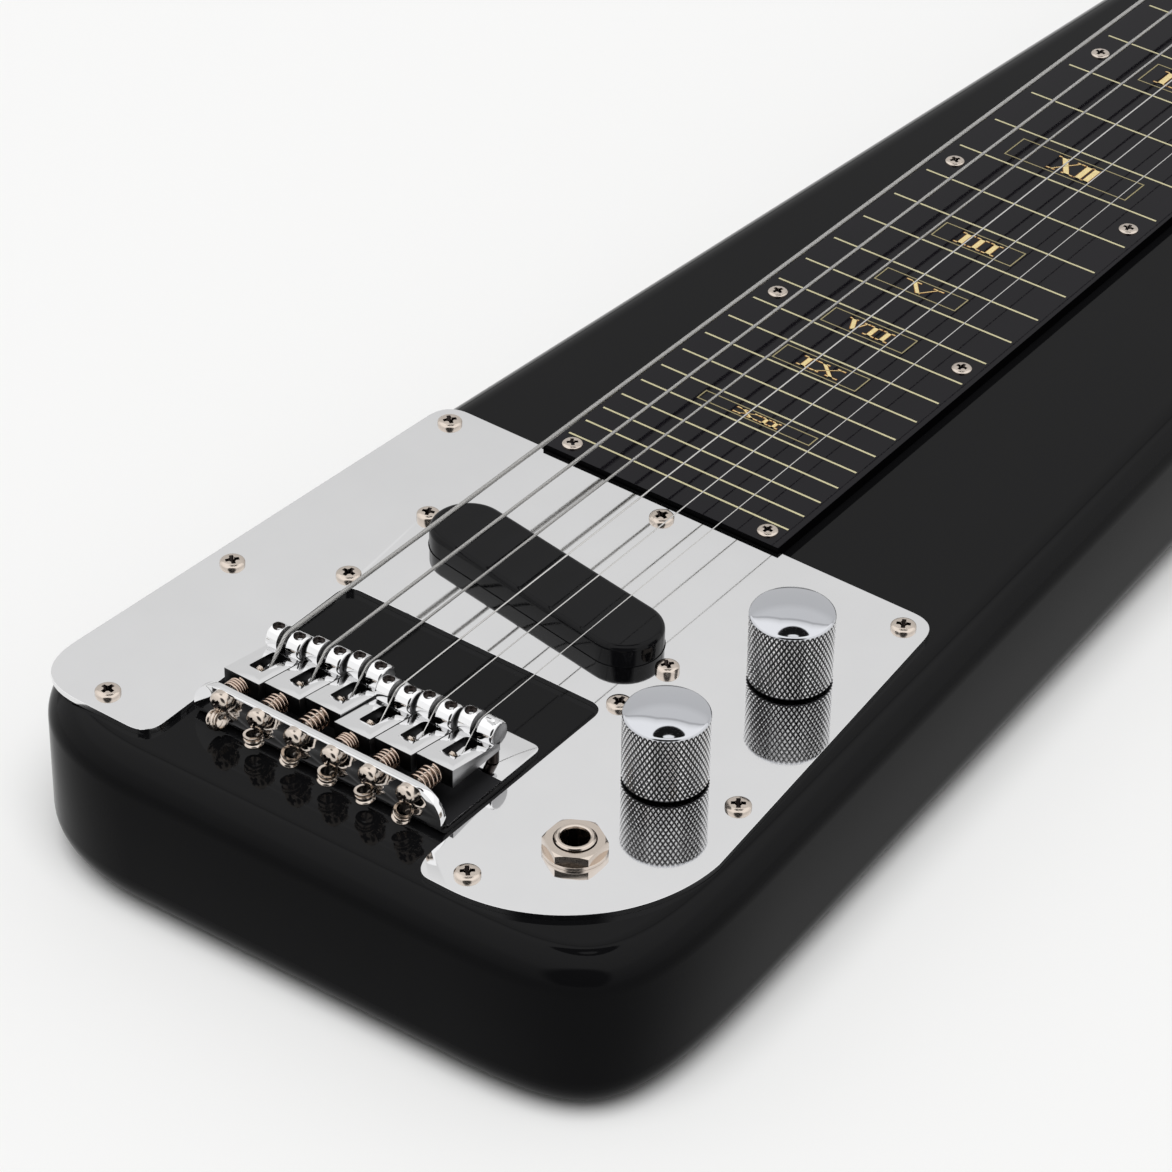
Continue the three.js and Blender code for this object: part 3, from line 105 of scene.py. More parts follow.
class BoardSizes(bpy.types.PropertyGroup):
    scale_length: length("Scale length", SCALE_LENGTH, "Saddle line to the nut")
    fret_count: count("Frets", 28, "Printed fret lines")
    half_width: length("Half width", 36.7, "Half of the board's width at the saddle line")
    taper: share("Taper", 0.0124, "How fast the board's edges close in")
    line_width: length("Line width", 0.56, "Width of a fret line")
    frame_width: length("Frame width", 0.34, "Width of a numeral's frame line")
    line_inset: length("Line inset", 2.2, "From the end of a fret line to the board's edge")
    print_height: length("Print height", 0.06, "Thickness of the print")
    screw_head: length("Screw head", 5.2, "Diameter of the board's screw heads")
    screw_inset: length("Screw inset", 5.9, "From the board's edge to a screw")


class PlateSizes(bpy.types.PropertyGroup):
    edge: length("Edge", 0.25, "Rounding of the plate's edges")
    screw_head: length("Screw head", 6.2, "Diameter of the plate's screw heads")
    screw_inset: length("Screw inset", 6.3, "From the plate's edge to a screw")
    sweep_share: share("Sweep", 0.56, "Fullness of the sweep at the treble tail corner")


class BridgeSizes(bpy.types.PropertyGroup):
    pitch: length("String pitch", 10.8, "Distance between strings at the saddles")
    nut_pitch: length("Pitch at the nut", 8.88, "Distance between strings at the nut")
    spring_turns: share("Spring turns", 4.5, "Turns of a saddle spring")
    spring_wire: length("Spring wire", 0.55, "Wire diameter of a saddle spring")
    heaviest_string: length("Heaviest string", 1.17, "Diameter of the lowest string")


class KnobSizes(bpy.types.PropertyGroup):
    knurls: count("Knurls", 52, "Diamonds round a knob")
    knurl_depth: length("Knurl depth", 0.34, "Depth of the knurl's grooves")
    rim: length("Rim radius", 0.9, "Rounding between the side and the dome")
    dome_slope: share("Dome slope", 18, "Slope of the dome at its rim, in degrees")


class FinishColours(bpy.types.PropertyGroup):
    lacquer: colour("Lacquer", (0.003, 0.003, 0.0033, 1), "Gloss black of the body")
    board: colour("Fretboard", (0.0055, 0.0048, 0.0068, 1), "Black of the fretboard")
    chrome: colour("Chrome", (0.80, 0.80, 0.805, 1), "Control plate and bridge")
    # painted shade: the domes' chrome is a darker, bluer copy of the plate's chrome
    dome: colour("Dome chrome", (0.57, 0.58, 0.61, 1), "Tops of the knobs")
    nickel: colour("Nickel", (0.62, 0.545, 0.48, 1), "Screws, jack and tuners")
    gold: colour("Gold print", (0.93, 0.74, 0.36, 1), "Numerals")
    pale_gold: colour("Pale gold print", (0.67, 0.62, 0.38, 1), "Fret lines")
    dull_gold: colour("Dull gold print", (0.36, 0.31, 0.16, 1), "Frames of the numerals")
    amber: colour("Amber edge", (0.36, 0.16, 0.03, 1), "Darker edge of the numerals")
    plastic: colour("Pickup cover", (0.003, 0.003, 0.0035, 1), "Gloss plastic of the pickup")
    ivory: colour("Nut", (0.80, 0.76, 0.64, 1), "Nut")
    wire: colour("Wire", (0.58, 0.57, 0.555, 1), "Strings")
    coppery: colour("Spring wire", (0.60, 0.47, 0.39, 1), "Springs behind the saddles")
    # painted shade: near-black metal on the saddles' undersides, slots and rear faces, the bridge plate under
    # them and the knobs' undersides
    cast: colour("Painted shade", (0.03, 0.03, 0.032, 1), "Undersides and slots of the saddles")
    # painted shade: darker chrome on the saddles' ends between neighbours and the upper walls of their
    # grooves
    brushed_shade: colour("Brushed shaded chrome", (0.34, 0.34, 0.345, 1), "Unpolished ends of the saddles")
    # the height screws' own dark steel colour, and painted shade in the driver recesses of screw heads
    blackened_and_recess_shade: colour("Blackened steel", (0.045, 0.036, 0.033, 1), "Height screws and driver recesses")
    can: colour("Plated can", (0.45, 0.45, 0.44, 1), "Cans of the potentiometers")


class StageSettings(bpy.types.PropertyGroup):
    floor: colour("Floor", (0.90, 0.90, 0.895, 1), "Colour of the floor")
    daylight: share("World", 0.35, "Strength of the world on matt surfaces")
    key: share("Key light", 2.35, "Strength of the soft overhead light, in watts a square metre")
    softness: share("Softness", 48, "Width of the overhead light as seen from the guitar, in degrees")
    opening: share("Dark opening", 0.97, "Darkness of the opening in the light tent, as reflections see it")


GROUPS = {
    "lap_steel_body": BodySizes,
    "lap_steel_board": BoardSizes,
    "lap_steel_plate": PlateSizes,
    "lap_steel_bridge": BridgeSizes,
    "lap_steel_knobs": KnobSizes,
    "lap_steel_colours": FinishColours,
    "lap_steel_stage": StageSettings,
}


def sizes(name):
    return getattr(bpy.context.scene, "lap_steel_" + name)


# Working coordinates: the nut's near face lies one scale length from the saddle line

NUT_LOW, NUT_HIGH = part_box("nut")
NUT_X = SCALE_LENGTH * MM
NUT_FAR = NUT_X + 5 * MM
ORIGIN = Vector((NUT_LOW.x - NUT_X, (NUT_LOW.y + NUT_HIGH.y) / 2, 0))


def box(node):
    """The lowest and highest corners of a CAD node, in working coordinates."""
    low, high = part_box(node)
    return low - ORIGIN, high - ORIGIN


# Levels above the underside of the body. The strings lie on STRING_BASE at the saddles and the nut
BODY_TOP, PLATE_TOP, BOARD_TOP, STRING_BASE = 45 * MM, 46.5 * MM, 48 * MM, 58 * MM


def string_y(number, pitch):
    return (number - (STRING_COUNT + 1) / 2) * pitch


# Diameters as shares of the heaviest string's
STRING_SHARES = (0.214, 0.282, 0.368, 0.564, 0.778, 1)


def string_radius(number):
    return sizes("bridge").heaviest_string * STRING_SHARES[number - 1] / 2


# Outlines: lists of points in a plane

def bezier(a, b, c, d, steps):
    """Points along a cubic curve, without its last one."""
    points = []
    for step in range(steps):
        t = step / steps
        u = 1 - t
        points.append(tuple(u ** 3 * a[k] + 3 * u * u * t * b[k] + 3 * u * t * t * c[k] + t ** 3 * d[k]
                            for k in range(2)))
    return points


def softened(corners, steps=12):
    """An outline whose corners (x, y, reach) are rounded over by reach along both sides."""
    points = []
    total = len(corners)
    for i, (x, y, reach) in enumerate(corners):
        if not reach:
            points.append((x, y))
            continue
        ends = []
        for other in (corners[i - 1], corners[(i + 1) % total]):
            away = Vector((other[0] - x, other[1] - y))
            ends.append(Vector((x, y)) + away.normalized() * min(reach, away.length / 2))
        for step in range(steps + 1):
            t = step / steps
            spot = ends[0] * (1 - t) ** 2 + Vector((x, y)) * 2 * t * (1 - t) + ends[1] * t * t
            points.append((spot.x, spot.y))
    return points


def arc(x, y, radius, start, end, steps):
    return [(x + radius * math.cos(start + (end - start) * i / steps),
             y + radius * math.sin(start + (end - start) * i / steps)) for i in range(steps + 1)]


def stadium(along, across):
    """A slot shape along y with round ends."""
    r, steps = across / 2, 24
    straight = along / 2 - r
    return arc(0, straight, r, 0, math.pi, steps) + arc(0, -straight, r, math.pi, math.tau, steps)


def circle(x, y, radius, steps=32):
    return [(x + radius * math.cos(math.tau * i / steps), y + radius * math.sin(math.tau * i / steps))
            for i in range(steps)]


def rectangle(x0, x1, y0, y1):
    return [(x0, y0), (x1, y0), (x1, y1), (x0, y1)]


def rounded_rectangle(x0, x1, y0, y1, reach, steps=12):
    return softened([(x, y, reach) for x, y in rectangle(x0, x1, y0, y1)], steps)


def mirrored(corners):
    """Corners of one side and then, in reverse, the same on the other side of y = 0."""
    return corners + [(x, -y, *rest) for x, y, *rest in reversed(corners)]


def turned_points(points, angle, x, y):
    c, s = math.cos(angle), math.sin(angle)
    return [(x + px * c - py * s, y + px * s + py * c) for px, py in points]


# Meshes

def capped(mesh, first, last):
    mesh.faces.new(first[::-1])
    mesh.faces.new(last)
    return mesh


def lofted(mesh, rings):
    """Quads from ring to ring, and a cap on the first and the last."""
    for lower, upper in zip(rings, rings[1:]):
        total = len(lower)
        for i in range(total):
            j = (i + 1) % total
            mesh.faces.new((lower[i], lower[j], upper[j], upper[i]))
    return capped(mesh, rings[0], rings[-1])


def facing_out(mesh):
    bmesh.ops.recalc_face_normals(mesh, faces=mesh.faces)
    return mesh


def rounded_slab(outline, z0, z1, bottom, top, steps=10):
    """A slab with rounded bottom and top edges. Each cap has a narrow flat rim round it, so that shading
    stays level across the cap."""
    total = len(outline)
    if sum(a[0] * b[1] - b[0] * a[1] for a, b in zip(outline, outline[1:] + outline[:1])) < 0:
        outline = outline[::-1]
    inward = []
    for i in range(total):
        p = Vector(outline[i])
        before = (p - Vector(outline[i - 1])).normalized()
        after = (Vector(outline[(i + 1) % total]) - p).normalized()
        mean = Vector((-before.y - after.y, before.x + after.x)).normalized()
        inward.append(mean / max(-mean.x * after.y + mean.y * after.x, 0.3))
    rim = min(bottom, top) * 0.06
    levels = [(bottom + rim, z0), *arc(bottom, z0 + bottom, bottom, -math.pi / 2, -math.pi, steps),
              *arc(top, z1 - top, top, math.pi, math.pi / 2, steps), (top + rim, z1)]
    mesh = bmesh.new()
    rings = [[mesh.verts.new((p[0] + m.x * inset, p[1] + m.y * inset, z)) for p, m in zip(outline, inward)]
             for inset, z in levels]
    return lofted(mesh, rings)


def slab(outline, z0, z1):
    mesh = bmesh.new()
    rings = [[mesh.verts.new((x, y, z)) for x, y in outline] for z in (z0, z1)]
    return facing_out(lofted(mesh, rings))


def sheet(outline, holes, z0, z1):
    """A flat sheet with holes: the outline filled between its loops, then given its thickness."""
    mesh = bmesh.new()
    edges = []
    for loop in [outline, *holes]:
        verts = [mesh.verts.new((x, y, z1)) for x, y in loop]
        edges += [mesh.edges.new((verts[i - 1], verts[i])) for i in range(len(verts))]
    bmesh.ops.triangle_fill(mesh, use_beauty=True, use_dissolve=False, edges=edges, normal=(0, 0, 1))
    for face in mesh.faces:
        if face.normal.z < 0:
            face.normal_flip()
    made = bmesh.ops.extrude_face_region(mesh, geom=mesh.faces[:])
    low = [item for item in made["geom"] if isinstance(item, bmesh.types.BMVert)]
    bmesh.ops.translate(mesh, verts=low, vec=(0, 0, z0 - z1))
    return facing_out(mesh)


def lathe(profile, steps):
    """A profile of (radius, height) pairs turned round the z axis and closed at its ends."""
    mesh = bmesh.new()
    rings = []
    for radius, z in profile:
        if radius < 1e-9:
            rings.append([mesh.verts.new((0, 0, z))])
        else:
            rings.append([mesh.verts.new((x, y, z)) for x, y in circle(0, 0, radius, steps)])
    pairs = list(zip(rings, rings[1:]))
    if len(rings[0]) > 1 and len(rings[-1]) > 1:
        if profile[0] == profile[-1]:
            for vert in rings[-1]:
                mesh.verts.remove(vert)
            pairs[-1] = (rings[-2], rings[0])
        else:
            capped(mesh, rings[0], rings[-1])
    for lower, upper in pairs:
        for i in range(steps):
            j = (i + 1) % steps
            if len(lower) == 1 and len(upper) == 1:
                break
            if len(lower) == 1:
                mesh.faces.new((lower[0], upper[j], upper[i]))
            elif len(upper) == 1:
                mesh.faces.new((lower[i], lower[j], upper[0]))
            else:
                mesh.faces.new((lower[i], lower[j], upper[j], upper[i]))
    return facing_out(mesh)


def block(x0, x1, y0, y1, z0, z1):
    return slab(rectangle(x0, x1, y0, y1), z0, z1)


def rod(radius, z0, z1, steps=32):
    return lathe([(0, z0), (radius, z0), (radius, z1), (0, z1)], steps)


ALONG_X = Matrix.Rotation(math.pi / 2, 4, "Y")
ALONG_Y = Matrix.Rotation(-math.pi / 2, 4, "X")


def placed(mesh, x=0, y=0, z=0, turn=None):
    """The mesh turned first and then moved."""
    matrix = Matrix.Translation((x, y, z))
    if turn is not None:
        matrix = matrix @ turn
    bmesh.ops.transform(mesh, matrix=matrix, verts=mesh.verts)
    return mesh


def section_along_y(section, y0, y1):
    """A section drawn in x and z, and drawn out along y."""
    return placed(slab([(x, -z) for x, z in section], y0, y1), turn=ALONG_Y)


def merged(*meshes):
    """Several meshes in one, side by side."""
    whole = bmesh.new()
    for mesh in meshes:
        data = bpy.data.meshes.new("part")
        mesh.to_mesh(data)
        mesh.free()
        whole.from_mesh(data)
        bpy.data.meshes.remove(data)
    return whole


def as_object(mesh, name="tool"):
    data = bpy.data.meshes.new(name)
    mesh.to_mesh(data)
    mesh.free()
    thing = bpy.data.objects.new(name, data)
    bpy.context.scene.collection.objects.link(thing)
    return thing


def discard(thing):
    data = thing.data
    bpy.data.objects.remove(thing)
    if isinstance(data, bpy.types.Mesh):
        bpy.data.meshes.remove(data)


def evaluated(thing):
    """The object's mesh with its modifiers applied, as a bmesh; the object is discarded."""
    depsgraph = bpy.context.evaluated_depsgraph_get()
    data = bpy.data.meshes.new_from_object(thing.evaluated_get(depsgraph))
    mesh = bmesh.new()
    mesh.from_mesh(data)
    bpy.data.meshes.remove(data)
    discard(thing)
    return mesh


def combined(mesh, operation, *tools):
    """The mesh with each tool joined to it, cut from it or intersected with it."""
    thing = as_object(mesh)
    helpers = []
    for tool in tools:
        helper = as_object(tool)
        step = thing.modifiers.new("step", "BOOLEAN")
        step.operation = operation
        step.solver = "EXACT"
        step.object = helper
        helpers.append(helper)
    result = evaluated(thing)
    for helper in helpers:
        discard(helper)
    return result


def eased(mesh, width, angle):
    """The mesh with its edges sharper than an angle in degrees rounded over."""
    thing = as_object(mesh)
    step = thing.modifiers.new("edges", "BEVEL")
    step.width = width
    step.segments = 2
    step.limit_method = "ANGLE"
    step.angle_limit = math.radians(angle)
    step.use_clamp_overlap = True
    return evaluated(thing)


def tube(points, radius, sides):
    """A round wire through the points, closed by flat ends, with its length along the UV map's u."""
    mesh = bmesh.new()
    uv = mesh.loops.layers.uv.new("along")
    points = [Vector(p) for p in points]
    tangents = []
    for i in range(len(points)):
        before = points[i] - points[max(i - 1, 0)]
        after = points[min(i + 1, len(points) - 1)] - points[i]
        tangents.append((before.normalized() + after.normalized()).normalized())
    across = tangents[0].orthogonal().normalized()
    rings, run, travelled = [], [], 0
    for i, (point, tangent) in enumerate(zip(points, tangents)):
        if i:
            across = tangents[i - 1].rotation_difference(tangent) @ across
            travelled += (point - points[i - 1]).length
        across = (across - tangent * across.dot(tangent)).normalized()
        up = tangent.cross(across)
        rings.append([mesh.verts.new(point + (across * math.cos(math.tau * k / sides)
                                              + up * math.sin(math.tau * k / sides)) * radius)
                      for k in range(sides)])
        run.append(travelled)
    for i in range(len(rings) - 1):
        for k in range(sides):
            j = (k + 1) % sides
            face = mesh.faces.new((rings[i][k], rings[i][j], rings[i + 1][j], rings[i + 1][k]))
            for loop, (u, v) in zip(face.loops, ((run[i], k), (run[i], k + 1), (run[i + 1], k + 1),
                                                 (run[i + 1], k))):
                loop[uv].uv = (u / MM, v / sides)
    return capped(mesh, rings[0], rings[-1])


def marked(mesh, rule):
    """The mesh with each face's finish chosen by a rule of its middle and its normal."""
    for face in mesh.faces:
        face.material_index = int(rule(face.calc_center_median(), face.normal))
    return mesh


def add_piece(name, mesh, body, slot, finish, *nodes, smooth=20):
    """Stores a mesh drawn in working coordinates as a piece that rides on a body, and hides the CAD nodes
    it stands for. A piece given two bodies and the two ends of a stretch is not attached to a body; the
    bodies and the ends are not used."""
    bmesh.ops.remove_doubles(mesh, verts=mesh.verts, dist=1e-7)
    bmesh.ops.dissolve_degenerate(mesh, edges=mesh.edges, dist=1e-7)
    bmesh.ops.translate(mesh, verts=mesh.verts, vec=ORIGIN)
    piece = as_object(mesh, name)
    for one in finish if isinstance(finish, list) else [finish]:
        piece.data.materials.append(one)
    piece.data.shade_smooth()
    piece.data.set_sharp_from_angle(angle=math.radians(smooth))
    if isinstance(body, str):
        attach(piece, body)
    else:
        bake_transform(piece)
    if nodes:
        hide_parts(*nodes)


def once(maker):
    """A maker that keeps what it has made, so that each finish and each node tree is made once."""
    kept = {}

    def keeper(*values):
        if values not in kept:
            kept[values] = maker(*values)
        return kept[values]
    return keeper


# Node trees, for finishes and for Geometry Nodes

class Tree:
    """Adds nodes to a node tree."""

    def __init__(self, tree):
        self.tree = tree

    def node(self, kind, settings=None, *values, **named):
        """One node: its settings first, then the values or links of its sockets, by place or by name."""
        made = self.tree.nodes.new(kind)
        for key, value in (settings or {}).items():
            setattr(made, key, value)
        live = [socket for socket in made.inputs if socket.enabled]
        for socket, value in zip(live, values):
            self.feed(socket, value)
        for key, value in named.items():
            wanted = key.replace("_", " ")
            self.feed(next(s for s in live if s.name == wanted), value)
        return made

    def feed(self, socket, value):
        if value is None:
            return
        if isinstance(value, Level):
            value = value.socket
        if isinstance(value, bpy.types.Node):
            value = next(s for s in value.outputs if s.enabled)
        if isinstance(value, bpy.types.NodeSocket):
            self.tree.links.new(value, socket)
        else:
            socket.default_value = value

    def level(self, kind, settings=None, *values, output=None, **named):
        made = self.node(kind, settings, *values, **named)
        socket = made.outputs[output] if output else next(s for s in made.outputs if s.enabled)
        return Level(self, socket)

    def axes(self, place):
        parts = self.node("ShaderNodeSeparateXYZ", None, place)
        return [Level(self, parts.outputs[axis]) for axis in "XYZ"]

    def combine(self, x=0.0, y=0.0, z=0.0):
        return self.node("ShaderNodeCombineXYZ", None, x, y, z)

    def eased(self, value, low, high, start=0.0, end=1.0):
        """From start to end while the value goes from low to high, with a smooth beginning and end."""
        smooth = {"interpolation_type": "SMOOTHSTEP"}
        return self.level("ShaderNodeMapRange", smooth, value, low, high, start, end)


class Level:
    """A number that varies over a surface. Python's operators add Math nodes to it."""

    def __init__(self, tree, socket):
        self.tree = tree
        self.socket = socket

    def maths(self, operation, *others):
        return self.tree.level("ShaderNodeMath", {"operation": operation}, self, *others)

    def reflected(self, operation, other):
        return self.tree.level("ShaderNodeMath", {"operation": operation}, other, self)

    def __add__(self, other):
        return self.maths("ADD", other)

    __radd__ = __add__

    def __sub__(self, other):
        return self.maths("SUBTRACT", other)

    def __rsub__(self, other):
        return self.reflected("SUBTRACT", other)

    def __mul__(self, other):
        return self.maths("MULTIPLY", other)

    __rmul__ = __mul__

    def __truediv__(self, other):
        return self.maths("DIVIDE", other)

    def __rtruediv__(self, other):
        return self.reflected("DIVIDE", other)

    def __pow__(self, other):
        return self.maths("POWER", other)

    def __rpow__(self, other):
        return self.reflected("POWER", other)

    def clamped(self):
        return self.maths("MAXIMUM", 0.0).maths("MINIMUM", 1.0)


class Finish(Tree):
    """One material, with a Principled shader whose patterns lie on Object coordinates."""

    def __init__(self, name):
        self.material = bpy.data.materials.new(name)
        self.material.use_nodes = True
        super().__init__(self.material.node_tree)
        self.tree.nodes.clear()
        self.shader = self.node("ShaderNodeBsdfPrincipled")
        self.output = self.node("ShaderNodeOutputMaterial", None, Surface=self.shader)
        self.place = self.node("ShaderNodeTexCoord").outputs["Object"]

    def noise(self, size, detail=3.0, stretch=(1, 1, 1)):
        """Cloudy noise whose patches are about size metres across."""
        mapped = self.node("ShaderNodeMapping", None, Vector=self.place, Scale=stretch)
        return self.level("ShaderNodeTexNoise", None, Vector=mapped, Scale=1 / size, Detail=detail)

    def mix(self, level, a, b):
        mixed = self.node("ShaderNodeMix", {"data_type": "RGBA"}, level)
        sockets = [s for s in mixed.inputs if s.enabled and s.name in ("A", "B")]
        for socket, value in zip(sockets, (a, b)):
            self.feed(socket, value)
        return mixed

    def bump(self, height, strength, distance):
        bumped = self.node("ShaderNodeBump", None, Strength=strength, Distance=distance, Height=height)
        self.feed(self.shader.inputs["Normal"], bumped)
        return bumped

    def surface(self, **values):
        for name, value in values.items():
            self.feed(self.shader.inputs[name.replace("_", " ")], value)
        return self.material


def scaled(shade, factor):
    return tuple(min(1, c * factor) for c in shade[:3]) + (1,)


def tint(name):
    return tuple(getattr(sizes("colours"), name))


@once
def lacquer():
    """Gloss black lacquer: nearly flat, with faint waves and fine swirl marks. On the sides a duller copy
    with weaker reflection paints shade."""
    finish = Finish("gloss_black_lacquer")
    base = tint("lacquer")
    cloud = finish.noise(60 * MM)
    swirl = finish.noise(0.9 * MM, 4, (1, 0.12, 1))
    wave = finish.noise(7 * MM, 1)
    bumped = finish.bump(wave * 0.85 + swirl * 0.15, 0.05, 0.15 * MM)
    black = finish.mix(cloud, base, scaled(base, 1.7))
    # painted shade on the sides: this copy reflects less and is mixed in where faces turn from up
    dull = finish.node("ShaderNodeBsdfPrincipled", None, Base_Color=black, Normal=bumped,
                       Roughness=swirl * 0.06 + cloud * 0.06 + 0.10, Specular_IOR_Level=0.03)
    upward = finish.axes(finish.node("ShaderNodeTexCoord").outputs["Normal"])[2]
    both = finish.node("ShaderNodeMixShader", None, finish.eased(upward, 0.2, 0.95), dull, finish.shader)
    finish.feed(finish.output.inputs["Surface"], both)
    return finish.surface(Base_Color=black, Roughness=swirl * 0.04 + cloud * 0.04 + 0.02,
                          Specular_IOR_Level=0.1)


@once
def board_black():
    """Satin-gloss black sheet with a fine grain."""
    finish = Finish("board_black")
    base = tint("board")
    grain = finish.noise(0.5 * MM, 2)
    cloud = finish.noise(40 * MM)
    finish.bump(grain, 0.05, 0.05 * MM)
    return finish.surface(Base_Color=finish.mix(cloud, scaled(base, 0.85), scaled(base, 1.2)),
                          Roughness=grain * 0.03 + cloud * 0.02 + 0.01, Specular_IOR_Level=0.14)


def grained(name, dark, light, pattern, relief, spread, roughness, **values):
    """One pattern of noise (size, detail, stretch) varies the colour, the gloss and the height."""
    finish = Finish(name)
    grain = finish.noise(*pattern)
    finish.bump(grain, *relief)
    return finish.surface(Base_Color=finish.mix(grain, dark, light), Roughness=grain * spread + roughness,
                          **values)


@once
def board_edge():
    """The sawn edge of the board, with saw marks: dead black with almost no reflection, painted shade along
    the edge.
    """
    base = tint("board")
    return grained("board_edge", scaled(base, 0.1), scaled(base, 0.2), (0.4 * MM, 2, (1, 1, 0.1)),
                   (0.1, 0.05 * MM), 0.1, 0.5, Specular_IOR_Level=0.02)


@once
def ink(name):
    """Metallic print, thin in places."""
    base = tint(name)
    return grained(name + "_print", scaled(base, 0.8), scaled(base, 1.1), (1.5 * MM, 4), (0.1, 0.02 * MM),
                   0.15, 0.3, Metallic=0.35)


@once
def ivory():
    base = tint("ivory")
    return grained("ivory_nut", scaled(base, 0.9), scaled(base, 1.06), (2 * MM, 4, (1, 0.15, 1)),
                   (0.06, 0.05 * MM), 0.15, 0.3)


@once
def lead_cover():
    """Dull black sleeve of the hidden leads."""
    return grained("black_trim", (0.008, 0.008, 0.008, 1), (0.02, 0.02, 0.02, 1), (0.6 * MM, 3),
                   (0.1, 0.05 * MM), 0.2, 0.45)


@once
def copper_winding():
    return grained("coil_winding", (0.22, 0.07, 0.03, 1), (0.42, 0.16, 0.07, 1), (0.5 * MM, 2, (1, 1, 12)),
                   (0.3, 0.1 * MM), 0.2, 0.35, Metallic=0.6)


# Colour, roughness, how much smudges and hairlines add to it, and the stretch of the hairlines
METALS = {
    "chrome": ("chrome", 0.015, 0.05, (1, 0.1, 1)),
    # painted shade: a darker, bluer copy of chrome for the knob domes
    "dome_chrome": ("dome", 0.015, 0.05, (1, 0.1, 1)),
    # painted shade: darker chrome for the saddles' ends between neighbours
    "brushed_chrome": ("brushed_shade", 0.2, 0.15, (0.15, 1, 1)),
    "nickel": ("nickel", 0.08, 0.12, (1, 1, 1)),
    "drawn_wire": ("wire", 0.14, 0.1, (1, 1, 1)),
    "spring_wire": ("coppery", 0.12, 0.1, (1, 1, 1)),
    # dark steel of the height screws, and painted shade in driver recesses
    "blackened_steel": ("blackened_and_recess_shade", 0.25, 0.2, (1, 1, 1)),
    # painted shade: near-black metal under and behind the saddles and under the knobs
    "raw_casting": ("cast", 0.35, 0.2, (1, 1, 1)),
    "plated_can": ("can", 0.25, 0.15, (1, 1, 1)),
}


@once
def metal(name):
    """A plated or drawn metal, or a darker copy that paints shade: smudges and hairlines vary its gloss."""
    shade, roughness, spread, stretch = METALS[name]
    finish = Finish(name)
    base = tint(shade)
    smudge = finish.noise(18 * MM, 4)
    hair = finish.noise(1.2 * MM, 3, stretch)
    finish.bump(hair, 0.02, 0.03 * MM)
    return finish.surface(Base_Color=finish.mix(smudge, scaled(base, 0.96), scaled(base, 1.03)), Metallic=1.0,
                          Roughness=smudge * spread + hair * spread * 0.5 + roughness)


def screw_finishes():
    """For a screw's head, and painted shade for its recess."""
    return [metal("nickel"), metal("blackened_steel")]


@once
def knurled_chrome():
    """Chrome whose grooves are dull, and near-black as painted shade. Depth is read from the distance to each
    knob's axis.
    """
    finish = Finish("knurled_chrome")
    base = tint("chrome")
    x, y, _ = finish.axes(finish.place)
    middle = ORIGIN.x + (VOLUME_X + TONE_X) / 2
    half = (VOLUME_X - TONE_X) / 2
    across = (x - middle).maths("ABSOLUTE") - half
    centre = ORIGIN.y + (control_y(VOLUME_X) + control_y(TONE_X)) / 2
    slant = (control_y(VOLUME_X) - control_y(TONE_X)) / 2 / half
    aside = y - centre - (x - middle).maths("SIGN") * (slant * half)
    radius = (across * across + aside * aside) ** 0.5
    low, high = box("knob_tone")
    outer = (high.y - low.y) / 2
    sunk = ((radius * -1 + outer) / sizes("knobs").knurl_depth).clamped()
    worn = finish.noise(0.5 * MM, 2)
    finish.bump(worn, 0.03, 0.03 * MM)
    # painted shade: the grooves' colour goes near black with their depth
    groove_shade = (sunk * 1.6 - 0.12).clamped()
    return finish.surface(Base_Color=finish.mix(groove_shade, base, (0.012, 0.012, 0.013, 1)), Metallic=1.0,
                          Roughness=sunk * 0.25 + worn * 0.06 + 0.05)


@once
def wound_wire():
    """The wrap of the heavy strings: fine ridges round the string, along its own UV map."""
    finish = Finish("wound_wire")
    base = tint("wire")
    along = finish.axes(finish.node("ShaderNodeUVMap", {"uv_map": "along"}))[0]
    wrap = 0.32  # millimetres from ridge to ridge
    ridge = (along * (math.tau / wrap)).maths("SINE") * 0.5 + 0.5
    finish.bump(ridge, 0.7, 0.12 * MM)
    # painted shade between the ridges, and a lighter colour on their crests as painted highlight
    return finish.surface(Base_Color=finish.mix(ridge, scaled(base, 0.5), scaled(base, 1.15)), Metallic=1.0,
                          Roughness=0.24 - ridge * 0.08)


@once
def gloss_plastic():
    """Moulded gloss black: very slight waves and fine wipe marks."""
    finish = Finish("gloss_plastic")
    base = tint("plastic")
    wipe = finish.noise(0.8 * MM, 3, (0.2, 1, 1))
    wave = finish.noise(9 * MM, 1)
    finish.bump(wave, 0.04, 0.1 * MM)
    return finish.surface(Base_Color=finish.mix(wave, base, scaled(base, 1.6)), Roughness=wipe * 0.05 + 0.03,
                          Specular_IOR_Level=0.13)


# Geometry Nodes

